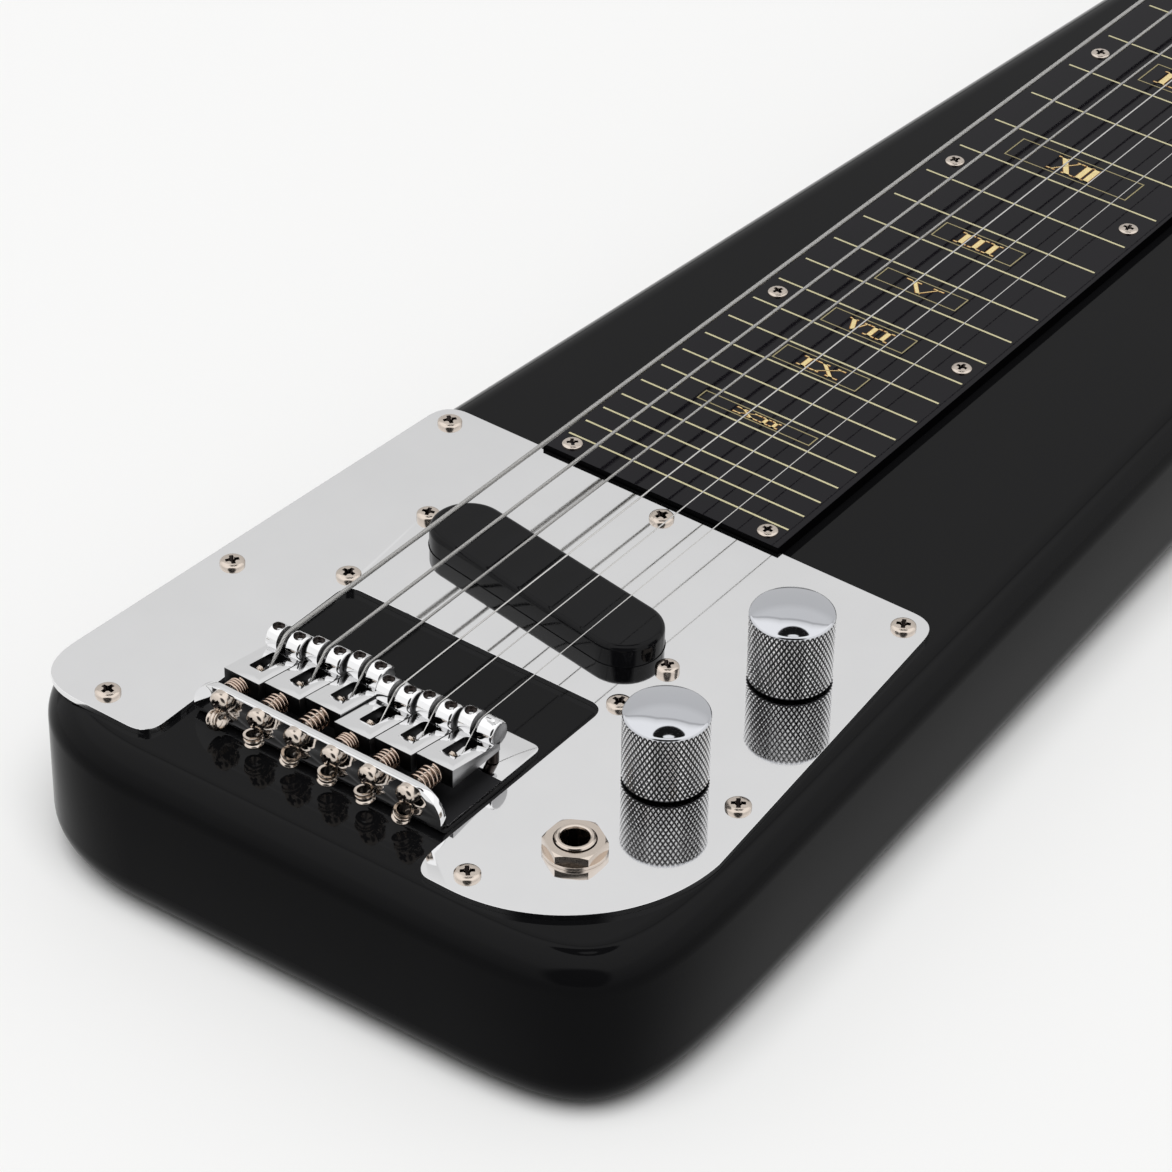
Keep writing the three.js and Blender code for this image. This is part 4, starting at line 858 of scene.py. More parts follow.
class Shaper(Tree):
    """A Geometry Nodes tree with named inputs, ending in Realize Instances and Set Material."""

    def __init__(self, name):
        super().__init__(bpy.data.node_groups.new(name, "GeometryNodeTree"))
        self.tree.interface.new_socket("Geometry", in_out="OUTPUT", socket_type="NodeSocketGeometry")
        self.tree.interface.new_socket("Geometry", in_out="INPUT", socket_type="NodeSocketGeometry")
        self.identifiers = {}
        self.source = self.node("NodeGroupInput")

    def input(self, name, kind):
        socket = self.tree.interface.new_socket(name, in_out="INPUT", socket_type="NodeSocket" + kind)
        self.identifiers[name] = socket.identifier
        output = next(s for s in self.source.outputs if s.identifier == socket.identifier)
        return Level(self, output)

    def inputs(self, **kinds):
        """Several inputs in a row."""
        return [self.input(name.replace("_", " "), kind) for name, kind in kinds.items()]

    def geometry(self):
        return self.source.outputs["Geometry"]

    def finish(self, geometry, material, where=None):
        real = self.node("GeometryNodeRealizeInstances", None, geometry)
        painted = self.node("GeometryNodeSetMaterial", None, real, Material=material, Selection=where)
        self.node("NodeGroupOutput", None, painted)

    def grow(self, seed, values):
        """Runs the tree on a seed mesh with its inputs set, and returns the result as a bmesh."""
        thing = as_object(seed)
        step = thing.modifiers.new("shape", "NODES")
        step.node_group = self.tree
        for name, value in values.items():
            step[self.identifiers[name]] = value
        return evaluated(thing)


@once
def scatter_shaper():
    """Puts a copy of one object on each point, each turned by its own amount."""
    tree = Shaper("scatter_screws")
    head, seed, material, recess = tree.inputs(
        Screw="Object", Seed="Int", Finish="Material", Recess="Material")
    turn = tree.level("FunctionNodeRandomValue", {"data_type": "FLOAT"}, Max=math.tau, Seed=seed)
    shape = tree.node("GeometryNodeObjectInfo", None, Object=head)
    copies = tree.node("GeometryNodeInstanceOnPoints", None, Points=tree.geometry(),
                       Instance=shape.outputs["Geometry"], Rotation=tree.combine(z=turn))
    # the recess keeps its own finish, which paints shade in it
    sunk = tree.level("GeometryNodeMaterialSelection", None, recess)
    tree.finish(copies, material, 1 - sunk)
    return tree


@once
def fret_shaper():
    """Fret lines: one thin bar for each fret, spaced by the twelfth root of two and cut to the taper."""
    tree = Shaper("fret_lines")
    scale_length, frets, half, taper, width, height, level, material = tree.inputs(
        Scale_length="Float", Frets="Int", Half_width="Float", Taper="Float", Line_width="Float",
        Line_height="Float", Board_top="Float", Finish="Material")
    index = tree.level("GeometryNodeInputIndex")
    x = scale_length * (2 ** ((index + 1) / -12))
    span = (half - x * taper) * 2
    points = tree.node("GeometryNodeMeshLine", None, Count=frets)
    spots = tree.node("GeometryNodeSetPosition", None, Geometry=points,
                      Position=tree.combine(x, 0.0, level + height / 2))
    bar = tree.node("GeometryNodeMeshCube", None, Size=tree.combine(width, 1.0, height))
    bars = tree.node("GeometryNodeInstanceOnPoints", None, Points=spots, Instance=bar.outputs["Mesh"],
                     Scale=tree.combine(1.0, span, 1.0))
    tree.finish(bars, material)
    return tree


@once
def spring_shaper():
    """A coil of round wire along z."""
    tree = Shaper("coil_spring")
    turns, radius, wire, reach, material = tree.inputs(
        Turns="Float", Radius="Float", Wire_radius="Float", Length="Float", Finish="Material")
    spiral = tree.node("GeometryNodeCurveSpiral", None, Resolution=28, Rotations=turns, Start_Radius=radius,
                       End_Radius=radius, Height=reach)
    ring = tree.node("GeometryNodeCurvePrimitiveCircle", None, Resolution=10, Radius=wire)
    coil = tree.node("GeometryNodeCurveToMesh", None, spiral, ring.outputs["Curve"], Fill_Caps=True)
    tree.finish(coil, material)
    return tree


@once
def knurl_shaper():
    """Presses a diamond pattern into the side of a round piece that stands on the z axis."""
    tree = Shaper("knurl")
    diamonds, depth, radius, low, high, lean, material = tree.inputs(
        Diamonds="Float", Depth="Float", Radius="Float", From="Float", To="Float",
        Height_of_a_diamond="Float", Finish="Material")
    x, y, z = tree.axes(tree.node("GeometryNodeInputPosition"))
    around = y.maths("ARCTAN2", x) * diamonds / math.tau
    rise = (z - low) * diamonds / (radius * math.tau * lean)
    grooves = [(phase.maths("FRACT") - 0.5).maths("ABSOLUTE") * 2
               for phase in (around + rise + 1000, around - rise + 1000)]
    flat = 0.33  # share of a diamond between its grooves
    groove = ((grooves[0].maths("MAXIMUM", grooves[1]) - flat) / (1 - flat)).clamped()
    across = (x * x + y * y) ** 0.5
    inside = z.maths("GREATER_THAN", low - depth / 4) * z.maths("LESS_THAN", high + depth / 4)
    inside = inside * across.maths("GREATER_THAN", radius * 0.985)
    push = groove * inside * depth * -1 / across
    moved = tree.node("GeometryNodeSetPosition", None, Geometry=tree.geometry(),
                      Offset=tree.combine(x * push, y * push, 0.0))
    tree.finish(moved, material)
    return tree


# Screws

def cross_recess(diameter, top, depth):
    """The two crossed wedges and the cone that a cross-head driver leaves."""
    low, high = top - depth, top + depth
    tools = []
    for turn in (0, math.pi / 2):
        mesh = bmesh.new()
        rings = []
        for reach, half, z in ((0.12, 0.05, low), (0.45, 0.12, high)):
            reach, half = reach * diameter, half * diameter
            rings.append([mesh.verts.new((x, y, z)) for x, y in rectangle(-reach, reach, -half, half)])
        tools.append(placed(facing_out(lofted(mesh, rings)), turn=Matrix.Rotation(turn, 4, "Z")))
    cone = [(0, low), (0.06 * diameter, low), (0.27 * diameter, high), (0, high)]
    return tools + [placed(lathe(cone, 16), turn=Matrix.Rotation(0.1, 4, "Z"))]


def screw_head(diameter, side_share, top_share):
    """A pan-shaped cross-head on z = 0: side_share of the diameter upright, top_share to the crown."""
    r = diameter / 2
    side = diameter * side_share
    crown = diameter * top_share
    profile = [(0, -0.3 * MM), (r, -0.3 * MM), (r, side)]
    for step in range(1, 9):
        angle = step / 8 * math.pi / 2
        profile.append((r * math.cos(angle) ** 0.68, side + (crown - side) * math.sin(angle) ** 0.8))
    profile[-1] = (0, crown)
    head = combined(lathe(profile, 32), "DIFFERENCE", *cross_recess(diameter, crown, diameter * 0.2))

    # painted shade: faces deep in the cross recess take the second finish
    def in_recess(middle, normal):
        across = math.hypot(middle.x, middle.y) / r
        dome = side + (crown - side) * max(0, 1 - across ** 2.9) ** 0.4
        return across < 0.7 and middle.z < dome - diameter * 0.035

    return marked(head, in_recess)


def scattered(head, places, seed):
    """Screw heads at a list of places."""
    template = as_object(head, "screw_template")
    finishes = screw_finishes()
    for finish in finishes:
        template.data.materials.append(finish)
    spots = bmesh.new()
    for place in places:
        spots.verts.new(place)
    result = scatter_shaper().grow(spots, {
        "Screw": template, "Seed": seed, "Finish": finishes[0], "Recess": finishes[1]})
    discard(template)
    return result


class PieceOperator(bpy.types.Operator):
    """Draws one group of pieces"""
    bl_options = {"REGISTER", "UNDO"}


# Body

def bass_edge(x):
    s = sizes("body")
    return s.bass_side - s.bass_taper * x


def treble_edge(x):
    s = sizes("body")
    return -(s.treble_side - s.treble_taper * x)


def body_outline():
    s = sizes("body")
    straight, end = 400 * MM, 603 * MM
    shoulder = end - s.shoulder_radius
    ease = (shoulder - straight) / 2
    steps = 28

    def tail(y):
        return -s.tail_length - s.tail_slant * y

    def one_side(sign, edge, half, shoulder_y, along_tail, along_side, full):
        """From the shoulder to the tail, round a corner of the given reach and fullness."""
        start = tail(sign * half) + along_side
        low = edge(-s.tail_length) - sign * along_tail
        handle, low_handle = start - along_side * full, low + sign * along_tail * full
        points = bezier((shoulder, shoulder_y), (shoulder - ease, shoulder_y),
                        (straight + ease, edge(straight + ease)), (straight, edge(straight)), steps)
        points.append((straight, edge(straight)))
        points += bezier((start, edge(start)), (handle, edge(handle)), (tail(low_handle), low_handle),
                         (tail(low), low), steps)
        return points + [(tail(low), low)]

    bass_y, treble_y = 42 * MM, -54 * MM
    bass = one_side(1, bass_edge, s.bass_side, bass_y, 45.4 * MM, 41.3 * MM, 0.635)
    treble = one_side(-1, treble_edge, s.treble_side, treble_y, 47.4 * MM, 69.3 * MM, 0.875)
    corners = [(shoulder - ease, treble_y, 0), (end, treble_y, s.shoulder_radius),
               (end, bass_y, s.shoulder_radius), (shoulder - ease, bass_y, 0)]
    return bass[1:] + treble[:0:-1] + softened(corners, steps // 2)[1:-1]


# Where each string's post stands, and its side of the headstock: -1 treble, 1 bass
FIRST_TUNER, TUNER_STEP, TUNER_ROW = 626, 38, 24 * MM
TUNERS = {number: ((FIRST_TUNER + TUNER_STEP * min(number - 1, STRING_COUNT - number)) * MM,
                   -TUNER_ROW if number < 4 else TUNER_ROW, -1 if number < 4 else 1) for number in STRINGS}


def control_y(x):
    return -63.3 * MM - 0.0237 * x


# Places along the guitar, and the pickup's middle and slant
VOLUME_X, TONE_X, JACK_X = 68.6 * MM, 21.3 * MM, -11.4 * MM
PICKUP = (59.5 * MM, -0.7 * MM, math.radians(9.06))
PICKUP_SCREW_Y = 41 * MM


def on_pickup(mesh):
    return placed(mesh, PICKUP[0], PICKUP[1], 0, Matrix.Rotation(-PICKUP[2], 4, "Z"))


def body_pockets():
    """What is cut from the body: the control cavity, the jack's bore and the pickup's pocket with the
    channels between them, and a hole for each tuner post."""
    above, floor, deep = BODY_TOP + 2 * MM, BODY_TOP - 20 * MM, BODY_TOP - 33 * MM
    half, lead_x = 4.5 * MM, 52 * MM  # channels, and the pickup lead's place
    reach = 12.5 * MM
    wide, long = 11.1 * MM, 48.5 * MM
    x0, x1 = TONE_X - reach, VOLUME_X + reach
    y0, y1 = control_y(VOLUME_X) - reach, control_y(TONE_X) + reach
    pockets = [
        slab(rounded_rectangle(x0, x1, y0, y1, 10 * MM), deep, above),
        placed(rod(9.5 * MM, deep, above), JACK_X, control_y(JACK_X)),
        block(JACK_X, TONE_X, control_y(JACK_X) - half, control_y(JACK_X) + half, floor, above),
        on_pickup(slab(rounded_rectangle(-wide, wide, -long, long, 5 * MM), floor, above)),
        block(lead_x - half, lead_x + half, control_y(lead_x), -36 * MM, floor, above),
    ]
    return pockets + [placed(rod(3.6 * MM, 15 * MM, 35 * MM), x, y) for x, y, _ in TUNERS.values()]


class LAPSTEEL_OT_body(PieceOperator):
    """Slab body and headstock in gloss black lacquer, with their pockets and tuner holes"""
    bl_idname = "lapsteel.body"
    bl_label = "Body"

    def execute(self, context):
        s = sizes("body")
        body = rounded_slab(body_outline(), 0, BODY_TOP, s.bottom_edge, s.top_edge)
        head = softened(mirrored([(583 * MM, -34 * MM, 0), (736 * MM, -42 * MM, 14 * MM)]), 16)
        bottom, top = 17 * MM, 33 * MM
        head = rounded_slab(head, bottom, top, s.head_edge, s.head_edge, 6)
        whole = combined(body, "UNION", head)
        whole = combined(whole, "DIFFERENCE", *body_pockets())
        add_piece("body_shell", whole, "main", "gloss_black", lacquer(), "body")
        return {"FINISHED"}


# Control plate

def plate_bass(x):
    return 72.8 * MM - 0.064 * x


def plate_treble(x):
    return -(91.6 * MM - 0.098 * x)


PLATE_TAIL, PLATE_FAR = -39 * MM, 106.4 * MM
CUTOUT_HALF, CUTOUT_FAR = 38.2 * MM, 33 * MM


def plate_outline():
    tail, far = PLATE_TAIL, PLATE_FAR
    gap = board_half(far) + 0.3 * MM
    notch = far - 0.8 * MM
    sweep = (4 * MM, plate_treble(4 * MM))
    low = -49 * MM
    full = sizes("plate").sweep_share
    corners = [
        (far, plate_treble(far), 7 * MM), (far, -gap, 0), (notch, -gap, 0),
        (notch, gap, 0), (far, gap, 0), (far, plate_bass(far), 7 * MM),
        (tail, plate_bass(tail), 16 * MM), (tail, CUTOUT_HALF, 6 * MM), (CUTOUT_FAR, CUTOUT_HALF, 4.5 * MM),
        (CUTOUT_FAR, -CUTOUT_HALF, 4.5 * MM), (tail, -CUTOUT_HALF, 10 * MM), (tail, low, 0),
    ]
    points = softened([*corners, (*sweep, 0)])
    curve = bezier((tail, low), (tail, low + (sweep[1] - low) * full),
                   (sweep[0] - (sweep[0] - tail) * full, sweep[1]), sweep, 36)
    return points[:-2] + curve + [sweep]


def plate_screws():
    inset = sizes("plate").screw_inset
    near, far = PLATE_TAIL + inset, PLATE_FAR - inset
    side = PLATE_TAIL + (PLATE_FAR - PLATE_TAIL) * 0.424
    return [
        (far, plate_bass(far) - inset), (far, -5.1 * MM), (far, plate_treble(far) + inset),
        (side, plate_bass(side) - inset), (side, plate_treble(side) + inset),
        (35.9 * MM, 40.1 * MM), (35.9 * MM, -40.1 * MM), (near, 55.5 * MM), (near, -49.5 * MM),
    ]


class LAPSTEEL_OT_plate(PieceOperator):
    """Mirror-polished control plate with its cut-outs and nine cross-head screws"""
    bl_idname = "lapsteel.plate"
    bl_label = "Control plate"

    def execute(self, context):
        x, y, slant = PICKUP
        holes = [turned_points(stadium(72.7 * MM, 19.5 * MM), -slant, x, y),
                 circle(JACK_X, control_y(JACK_X), 5 * MM)]
        holes += [circle(at, control_y(at), 4.3 * MM) for at in (VOLUME_X, TONE_X)]
        for side in (-1, 1):
            holes.append(turned_points(circle(0, side * PICKUP_SCREW_Y, 1.8 * MM, 16), -slant, x, y))
        plate = eased(sheet(plate_outline(), holes, BODY_TOP, PLATE_TOP), sizes("plate").edge, 60)
        add_piece("plate_sheet", plate, "main", "chrome", metal("chrome"), "control_plate")
        head = screw_head(sizes("plate").screw_head, 0.07, 0.21)
        places = [(px, py, PLATE_TOP) for px, py in plate_screws()]
        add_piece("plate_screws", scattered(head, places, 3), "main", "nickel", screw_finishes())
        return {"FINISHED"}


# Fretboard

def fret_x(number):
    return sizes("board").scale_length * 2 ** (-number / 12)


def board_half(x):
    return sizes("board").half_width - sizes("board").taper * x


# Fret: the word, its frame as shares of the fret space and of the board, its letters' height as a share
# of the frame and each letter's width in millimetres
NUMERALS = {
    3: ("III", 0.42, 0.34, 0.62, (5, 5, 5)),
    5: ("V", 0.46, 0.34, 0.62, (13,)),
    7: ("VII", 0.5, 0.34, 0.62, (8, 4.6, 4.6)),
    9: ("IX", 0.54, 0.34, 0.62, (5, 10)),
    12: ("XII", 0.58, 0.58, 0.7, (8.6, 2.5, 2.5)),
    15: ("III", 0.54, 0.37, 0.68, (4.3, 4.3, 4.3)),
    17: ("V", 0.52, 0.37, 0.67, (11.5,)),
    19: ("VII", 0.65, 0.37, 0.6, (6.2, 3.9, 3.9)),
    21: ("IX", 0.7, 0.37, 0.61, (4.2, 8.7)),
    24: ("XII", 0.49, 0.49, 0.56, (7.8, 2.9, 2.9)),
}

# Strokes of each letter in its own box: foot, top, and 1 for a thick one; then its serifs: place, level
# and half width
LETTERS = {
    "I": ([(0.5, 0.5, 1)], [(0.5, 0, 0.42), (0.5, 1, 0.42)]),
    "V": ([(0.53, 0.2, 1), (0.53, 0.86, 0)], [(0.2, 1, 0.19), (0.86, 1, 0.13)]),
    "X": ([(0.76, 0.22, 1), (0.16, 0.84, 0)],
          [(0.76, 0, 0.2), (0.16, 0, 0.14), (0.22, 1, 0.2), (0.84, 1, 0.13)]),
}


def flat_bar(mesh, a, b, half, z0, z1):
    """A thin bar from a to b, whose ends are cut level."""
    base = [(a[0] - half, a[1]), (a[0] + half, a[1]), (b[0] + half, b[1]), (b[0] - half, b[1])]
    lofted(mesh, [[mesh.verts.new((x, y, z)) for x, y in base] for z in (z0, z1)])


def numeral(text, widths, height, grow, z0, z1):
    """A word of serifed numerals, centred, reading along x with its foot at y = 0."""
    mesh = bmesh.new()
    thick, thin, serif = height * 0.09 + 0.22 * MM, 0.13 * MM, 0.26 * MM
    at = -sum(widths) * MM / 2
    for letter, width in zip(text, widths):
        width *= MM
        bars, serifs = LETTERS[letter]
        for foot, top, heavy in bars:
            half = min(thick if heavy else thin, width * 0.32)
            flat_bar(mesh, (at + foot * width, -grow), (at + top * width, height + grow), half + grow, z0, z1)
        for place, level, half in serifs:
            low, high = (height - serif - grow, height + grow) if level else (-grow, serif + grow)
            middle = at + place * width
            flat_bar(mesh, (middle, low), (middle, high), half * width + grow, z0, z1)
        at += width
    return mesh


def frame_lines(x0, x1, half, width, z0, z1):
    inside = rectangle(x0 + width, x1 - width, width - half, half - width)
    return sheet(rectangle(x0, x1, -half, half), [inside], z0, z1)


class LAPSTEEL_OT_fretboard(PieceOperator):
    """Black fretboard with printed fret lines, framed numerals and its screws"""
    bl_idname = "lapsteel.fretboard"
    bl_label = "Fretboard"

    def execute(self, context):
        s = sizes("board")
        low, high = box("fretboard")
        outline = mirrored([(x, -board_half(x)) for x in (low.x, high.x)])
        board = eased(slab(outline, BODY_TOP, BOARD_TOP), 0.12 * MM, 60)
        # painted shade: the board's edge faces take the dead black edge finish
        marked(board, lambda middle, normal: abs(normal.z) < 0.9)
        add_piece("board_sheet", board, "main", "board_black", [board_black(), board_edge()], "fretboard")
        lines = fret_shaper().grow(bmesh.new(), {
            "Scale length": s.scale_length, "Frets": s.fret_count, "Half width": s.half_width - s.line_inset,
            "Taper": s.taper, "Line width": s.line_width, "Line height": s.print_height,
            "Board top": BOARD_TOP, "Finish": ink("pale_gold")})
        self.print_on_board("fret_lines", lines, "pale_gold")
        self.print_numerals(s)
        columns = [low.x + 4.1 * MM] + [(fret_x(n) + fret_x(n - 1)) / 2 for n in (19, 13, 9, 5, 1)]
        places = [(x, side * (board_half(x) - s.screw_inset), BOARD_TOP) for x in columns for side in (-1, 1)]
        head = screw_head(s.screw_head, 0.03, 0.15)
        add_piece("board_screws", scattered(head, places, 8), "main", "nickel", screw_finishes())
        return {"FINISHED"}

    def print_on_board(self, name, mesh, shade):
        add_piece(name, mesh, "main", "board_black", ink(shade))

    def print_numerals(self, s):
        foot, top = BOARD_TOP - 0.05 * MM, BOARD_TOP + s.print_height
        faces, edges, frames = [], [], []
        for fret, (text, frame_share, side_share, tall, widths) in NUMERALS.items():
            near, far = fret_x(fret), fret_x(fret - 1)
            middle, reach = (near + far) / 2, (far - near) * frame_share / 2
            half = board_half(middle) * side_share
            height = reach * 2 * tall
            spread = Matrix.Translation((middle - height / 2, 0, 0)) @ Matrix.Rotation(-math.pi / 2, 4, "Z")
            for bucket, grow, level in ((edges, 0.16 * MM, top - 0.03 * MM), (faces, 0, top)):
                bucket.append(placed(numeral(text, widths, height, grow, foot, level), turn=spread))
            frames.append(frame_lines(middle - reach, middle + reach, half, s.frame_width, foot, top))
        self.print_on_board("numeral_edges", merged(*edges), "amber")
        self.print_on_board("numerals", merged(*faces), "gold")
        self.print_on_board("numeral_frames", merged(*frames), "dull_gold")


class LAPSTEEL_OT_nut(PieceOperator):
    """Raised nut with one slot for each string"""
    bl_idname = "lapsteel.nut"
    bl_label = "Nut"

    def execute(self, context):
        low, high = box("nut")
        depth = high.x - low.x
        section = [(low.x, low.z), (high.x, low.z)]
        section += arc(high.x - depth / 2, high.z - depth / 2, depth / 2, 0, math.pi / 2, 8)
        section += [(low.x, high.z)]
        nut = section_along_y(section, low.y, high.y)
        start, end = low.x - 2 * MM, high.x + 2 * MM
        slots = []
        for number in STRINGS:
            y = string_y(number, sizes("bridge").nut_pitch)
            z = STRING_BASE + string_radius(number)
            r = string_radius(number) + 0.15 * MM
            slots.append(placed(rod(r, start, end, 16), 0, y, z, ALONG_X))
            slots.append(block(start, end, y - r, y + r, z, high.z + 2 * MM))
        nut = eased(combined(nut, "DIFFERENCE", *slots), 0.2 * MM, 50)
        add_piece("nut_block", nut, "main", "nut_white", ivory(), "nut")
        return {"FINISHED"}


# Pickup

class LAPSTEEL_OT_pickup(PieceOperator):
    """Slanted single-coil pickup: gloss cover, coil and two height screws"""
    bl_idname = "lapsteel.pickup"
    bl_label = "Pickup"

    def execute(self, context):
        low, high = box("pickup_cover")
        outer = rounded_slab(stadium(72.4 * MM, 19.2 * MM), low.z, high.z, 0.35 * MM, 1.4 * MM, 6)
        inner = slab(stadium(70 * MM, 16.8 * MM), low.z - 2 * MM, high.z - 1.2 * MM)
        cover = on_pickup(combined(outer, "DIFFERENCE", inner))
        add_piece("pickup_shell", cover, "pickup", "cover_black", gloss_plastic(), "pickup_cover")
        for name, side in (("bass", 1), ("treble", -1)):
            node = "pickup_screw_" + name
            foot = box(node)[0].z
            head = placed(screw_head(5.8 * MM, 0.1, 0.27), 0, 0, PLATE_TOP + 0.3 * MM,
                          Matrix.Rotation(0.5 * side, 4, "Z"))
            shank = rod(1.5 * MM, foot, PLATE_TOP + 0.2 * MM, 20)
            screw = on_pickup(placed(merged(head, shank), 0, side * PICKUP_SCREW_Y))
            add_piece("height_screw_" + name, screw, node, "nickel", screw_finishes(), node)
        paint("pickup_coil", copper_winding())
        for node in ("pickup_lead", "jack_lead"):
            paint(node, lead_cover())
        return {"FINISHED"}


def paint(node, finish):
    """Gives a CAD node that stays in view its material."""
    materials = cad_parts[node].data.materials
    if len(materials):
        materials[0] = finish
    else:
        materials.append(finish)


# Knobs

KNURL_STEPS = 6
DIAMOND_HEIGHT = 1.73  # times its width: the grooves lean 30 degrees from the axis


class LAPSTEEL_OT_knobs(PieceOperator):
    """Knurled knobs with low domes, and the potentiometers under them"""
    bl_idname = "lapsteel.knobs"
    bl_label = "Knobs"

    def execute(self, context):
        s = sizes("knobs")
        bore, bore_top, hollow, hollow_top = 3.3 * MM, 60.8 * MM, 6.6 * MM, 51 * MM
        for name, x in (("volume", VOLUME_X), ("tone", TONE_X)):
            low, high = box("knob_" + name)
            radius = (high.y - low.y) / 2
            base = low.z - 0.35 * MM
            slope = math.pi / 2 - math.radians(s.dome_slope)
            shoulder = radius - s.rim * (1 - math.cos(slope))
            crown = shoulder / math.cos(slope)
            dome = crown * (1 - math.sin(slope))
            rim = high.z - dome - s.rim * math.sin(slope)
            profile = [(0, bore_top), (bore, bore_top), (bore, hollow_top), (hollow, hollow_top),
                       (hollow, base), (radius - 0.6 * MM, base), (radius - 0.15 * MM, base + 0.1 * MM)]
            cell = math.tau * radius / (s.knurls * KNURL_STEPS)
            start = base + 0.45 * MM
            row = cell * DIAMOND_HEIGHT
            rows = int((rim + 0.25 * MM - start) / row)
            end = start + rows * row
            profile += [(radius, start + row * i) for i in range(rows + 1)]
            profile += arc(radius - s.rim, rim, s.rim, 0, slope, 10)[1:]
            profile += arc(0, high.z - crown, crown, slope, math.pi / 2, 12)[1:]
            profile[-1] = (0, high.z)
            knob = knurl_shaper().grow(lathe(profile, s.knurls * KNURL_STEPS), {
                "Diamonds": float(s.knurls), "Depth": s.knurl_depth, "Radius": radius, "From": start,
                "To": end, "Height of a diamond": DIAMOND_HEIGHT, "Finish": knurled_chrome()})
            self.split_along_grooves(knob, start, end)
            # painted shade: the knob's underside and hollow take the near-black metal, so the gap above the
            # plate looks dark
            for face in knob.faces:
                if face.calc_center_median().z < start:
                    face.material_index = 2
            placed(knob, x, control_y(x))
            add_piece("knob_cap_" + name, knob, "knob_" + name, "chrome",
                      [metal("dome_chrome"), knurled_chrome(), metal("raw_casting")],
                      "knob_" + name, smooth=28)
            paint("pot_" + name, metal("plated_can"))
            paint("pot_shaft_" + name, metal("nickel"))
        return {"FINISHED"}

    @staticmethod
    def split_along_grooves(knob, start, end):
        """Cuts each knurled quad along the diagonal that lies deeper, so that the grooves stay straight."""
        def from_axis(vert):
            return math.hypot(vert.co.x, vert.co.y)

        for face in [f for f in knob.faces if len(f.verts) == 4]:
            a, b, c, d = face.verts
            if min(v.co.z for v in face.verts) < start - 0.01 * MM or max(v.co.z for v in face.verts) > end:
                continue
            face.material_index = 1
            first, second = (a, c) if from_axis(a) + from_axis(c) < from_axis(b) + from_axis(d) else (b, d)
            bmesh.utils.face_split(face, first, second)


# Jack

class LAPSTEEL_OT_jack(PieceOperator):
    """Jack socket: bored bushing with a washer and a chamfered hexagonal nut"""
    bl_idname = "lapsteel.jack"
    bl_label = "Jack socket"

    def execute(self, context):
        x, y = JACK_X, control_y(JACK_X)
        top = PLATE_TOP + 4 * MM
        low = BODY_TOP - 2 * MM
        bore, bushing, flange = 3.3 * MM, 4.7 * MM, 8 * MM
        bushed = lathe([(bore, low), (flange, low), (flange, BODY_TOP), (bushing, BODY_TOP),
                        (bushing, top - 0.5 * MM), (bushing - 0.25 * MM, top - 0.15 * MM),
                        (bushing - 0.5 * MM, top), (bore + 0.45 * MM, top),
                        (bore + 0.15 * MM, top - 0.2 * MM), (bore, top - 0.6 * MM), (bore, low)], 64)
        leaves = []
        for side, reach in ((-1, 20), (1, 11)):
            leaf = block(-0.4 * MM, 0.4 * MM, -2.5 * MM, 2.5 * MM, low - reach * MM, low + 0.5 * MM)
            leaves.append(placed(leaf, side * 5.65 * MM))
        socket = placed(combined(bushed, "UNION", *leaves), x, y)
        add_piece("jack_bushing", socket, "main", "nickel", metal("nickel"), "jack_socket")
        outer, hole, seat = 7.5 * MM, 5 * MM, PLATE_TOP + 0.8 * MM
        washer = sheet(circle(0, 0, outer, 64), [circle(0, 0, hole, 48)], PLATE_TOP, seat)
        nut = sheet(circle(0, 0, outer, 6), [circle(0, 0, hole, 48)], seat, seat + 2.4 * MM)
        cone = lathe([(0, seat - 1 * MM), (8.2 * MM, seat - 1 * MM), (8.2 * MM, seat + 1.7 * MM),
                      (6.3 * MM, seat + 2.6 * MM), (0, seat + 2.6 * MM)], 64)
        nut = eased(combined(nut, "INTERSECT", cone), 0.12 * MM, 30)
        add_piece("jack_ring", placed(merged(eased(washer, 0.12 * MM, 60), nut), x, y), "main", "nickel",
                  metal("nickel"), "jack_nut")
        return {"FINISHED"}


# Bridge

SADDLE_OFFSETS = (1.4, 0, -1.2, 1.6, 0.096, -1.296)  # millimetres from the saddle line


def saddle_x(number):
    return SADDLE_OFFSETS[number - 1] * MM


def saddle_y(number):
    return string_y(number, sizes("bridge").pitch)


# Axis of the intonation screws, inner face of the flange, underside of the saddles, axis and radius of
# their barrels, and the string holes in the flange
INTONATION_Z = BODY_TOP + 8.6 * MM
FLANGE_FRONT = -23 * MM
SLAB_BOTTOM = BODY_TOP + 6.3 * MM
BARREL_Z = STRING_BASE - 2.3 * MM
BARREL = 3.3 * MM
BARREL_LIFT = BARREL_Z - SLAB_BOTTOM
STRING_HOLE_Z = BODY_TOP + 4 * MM


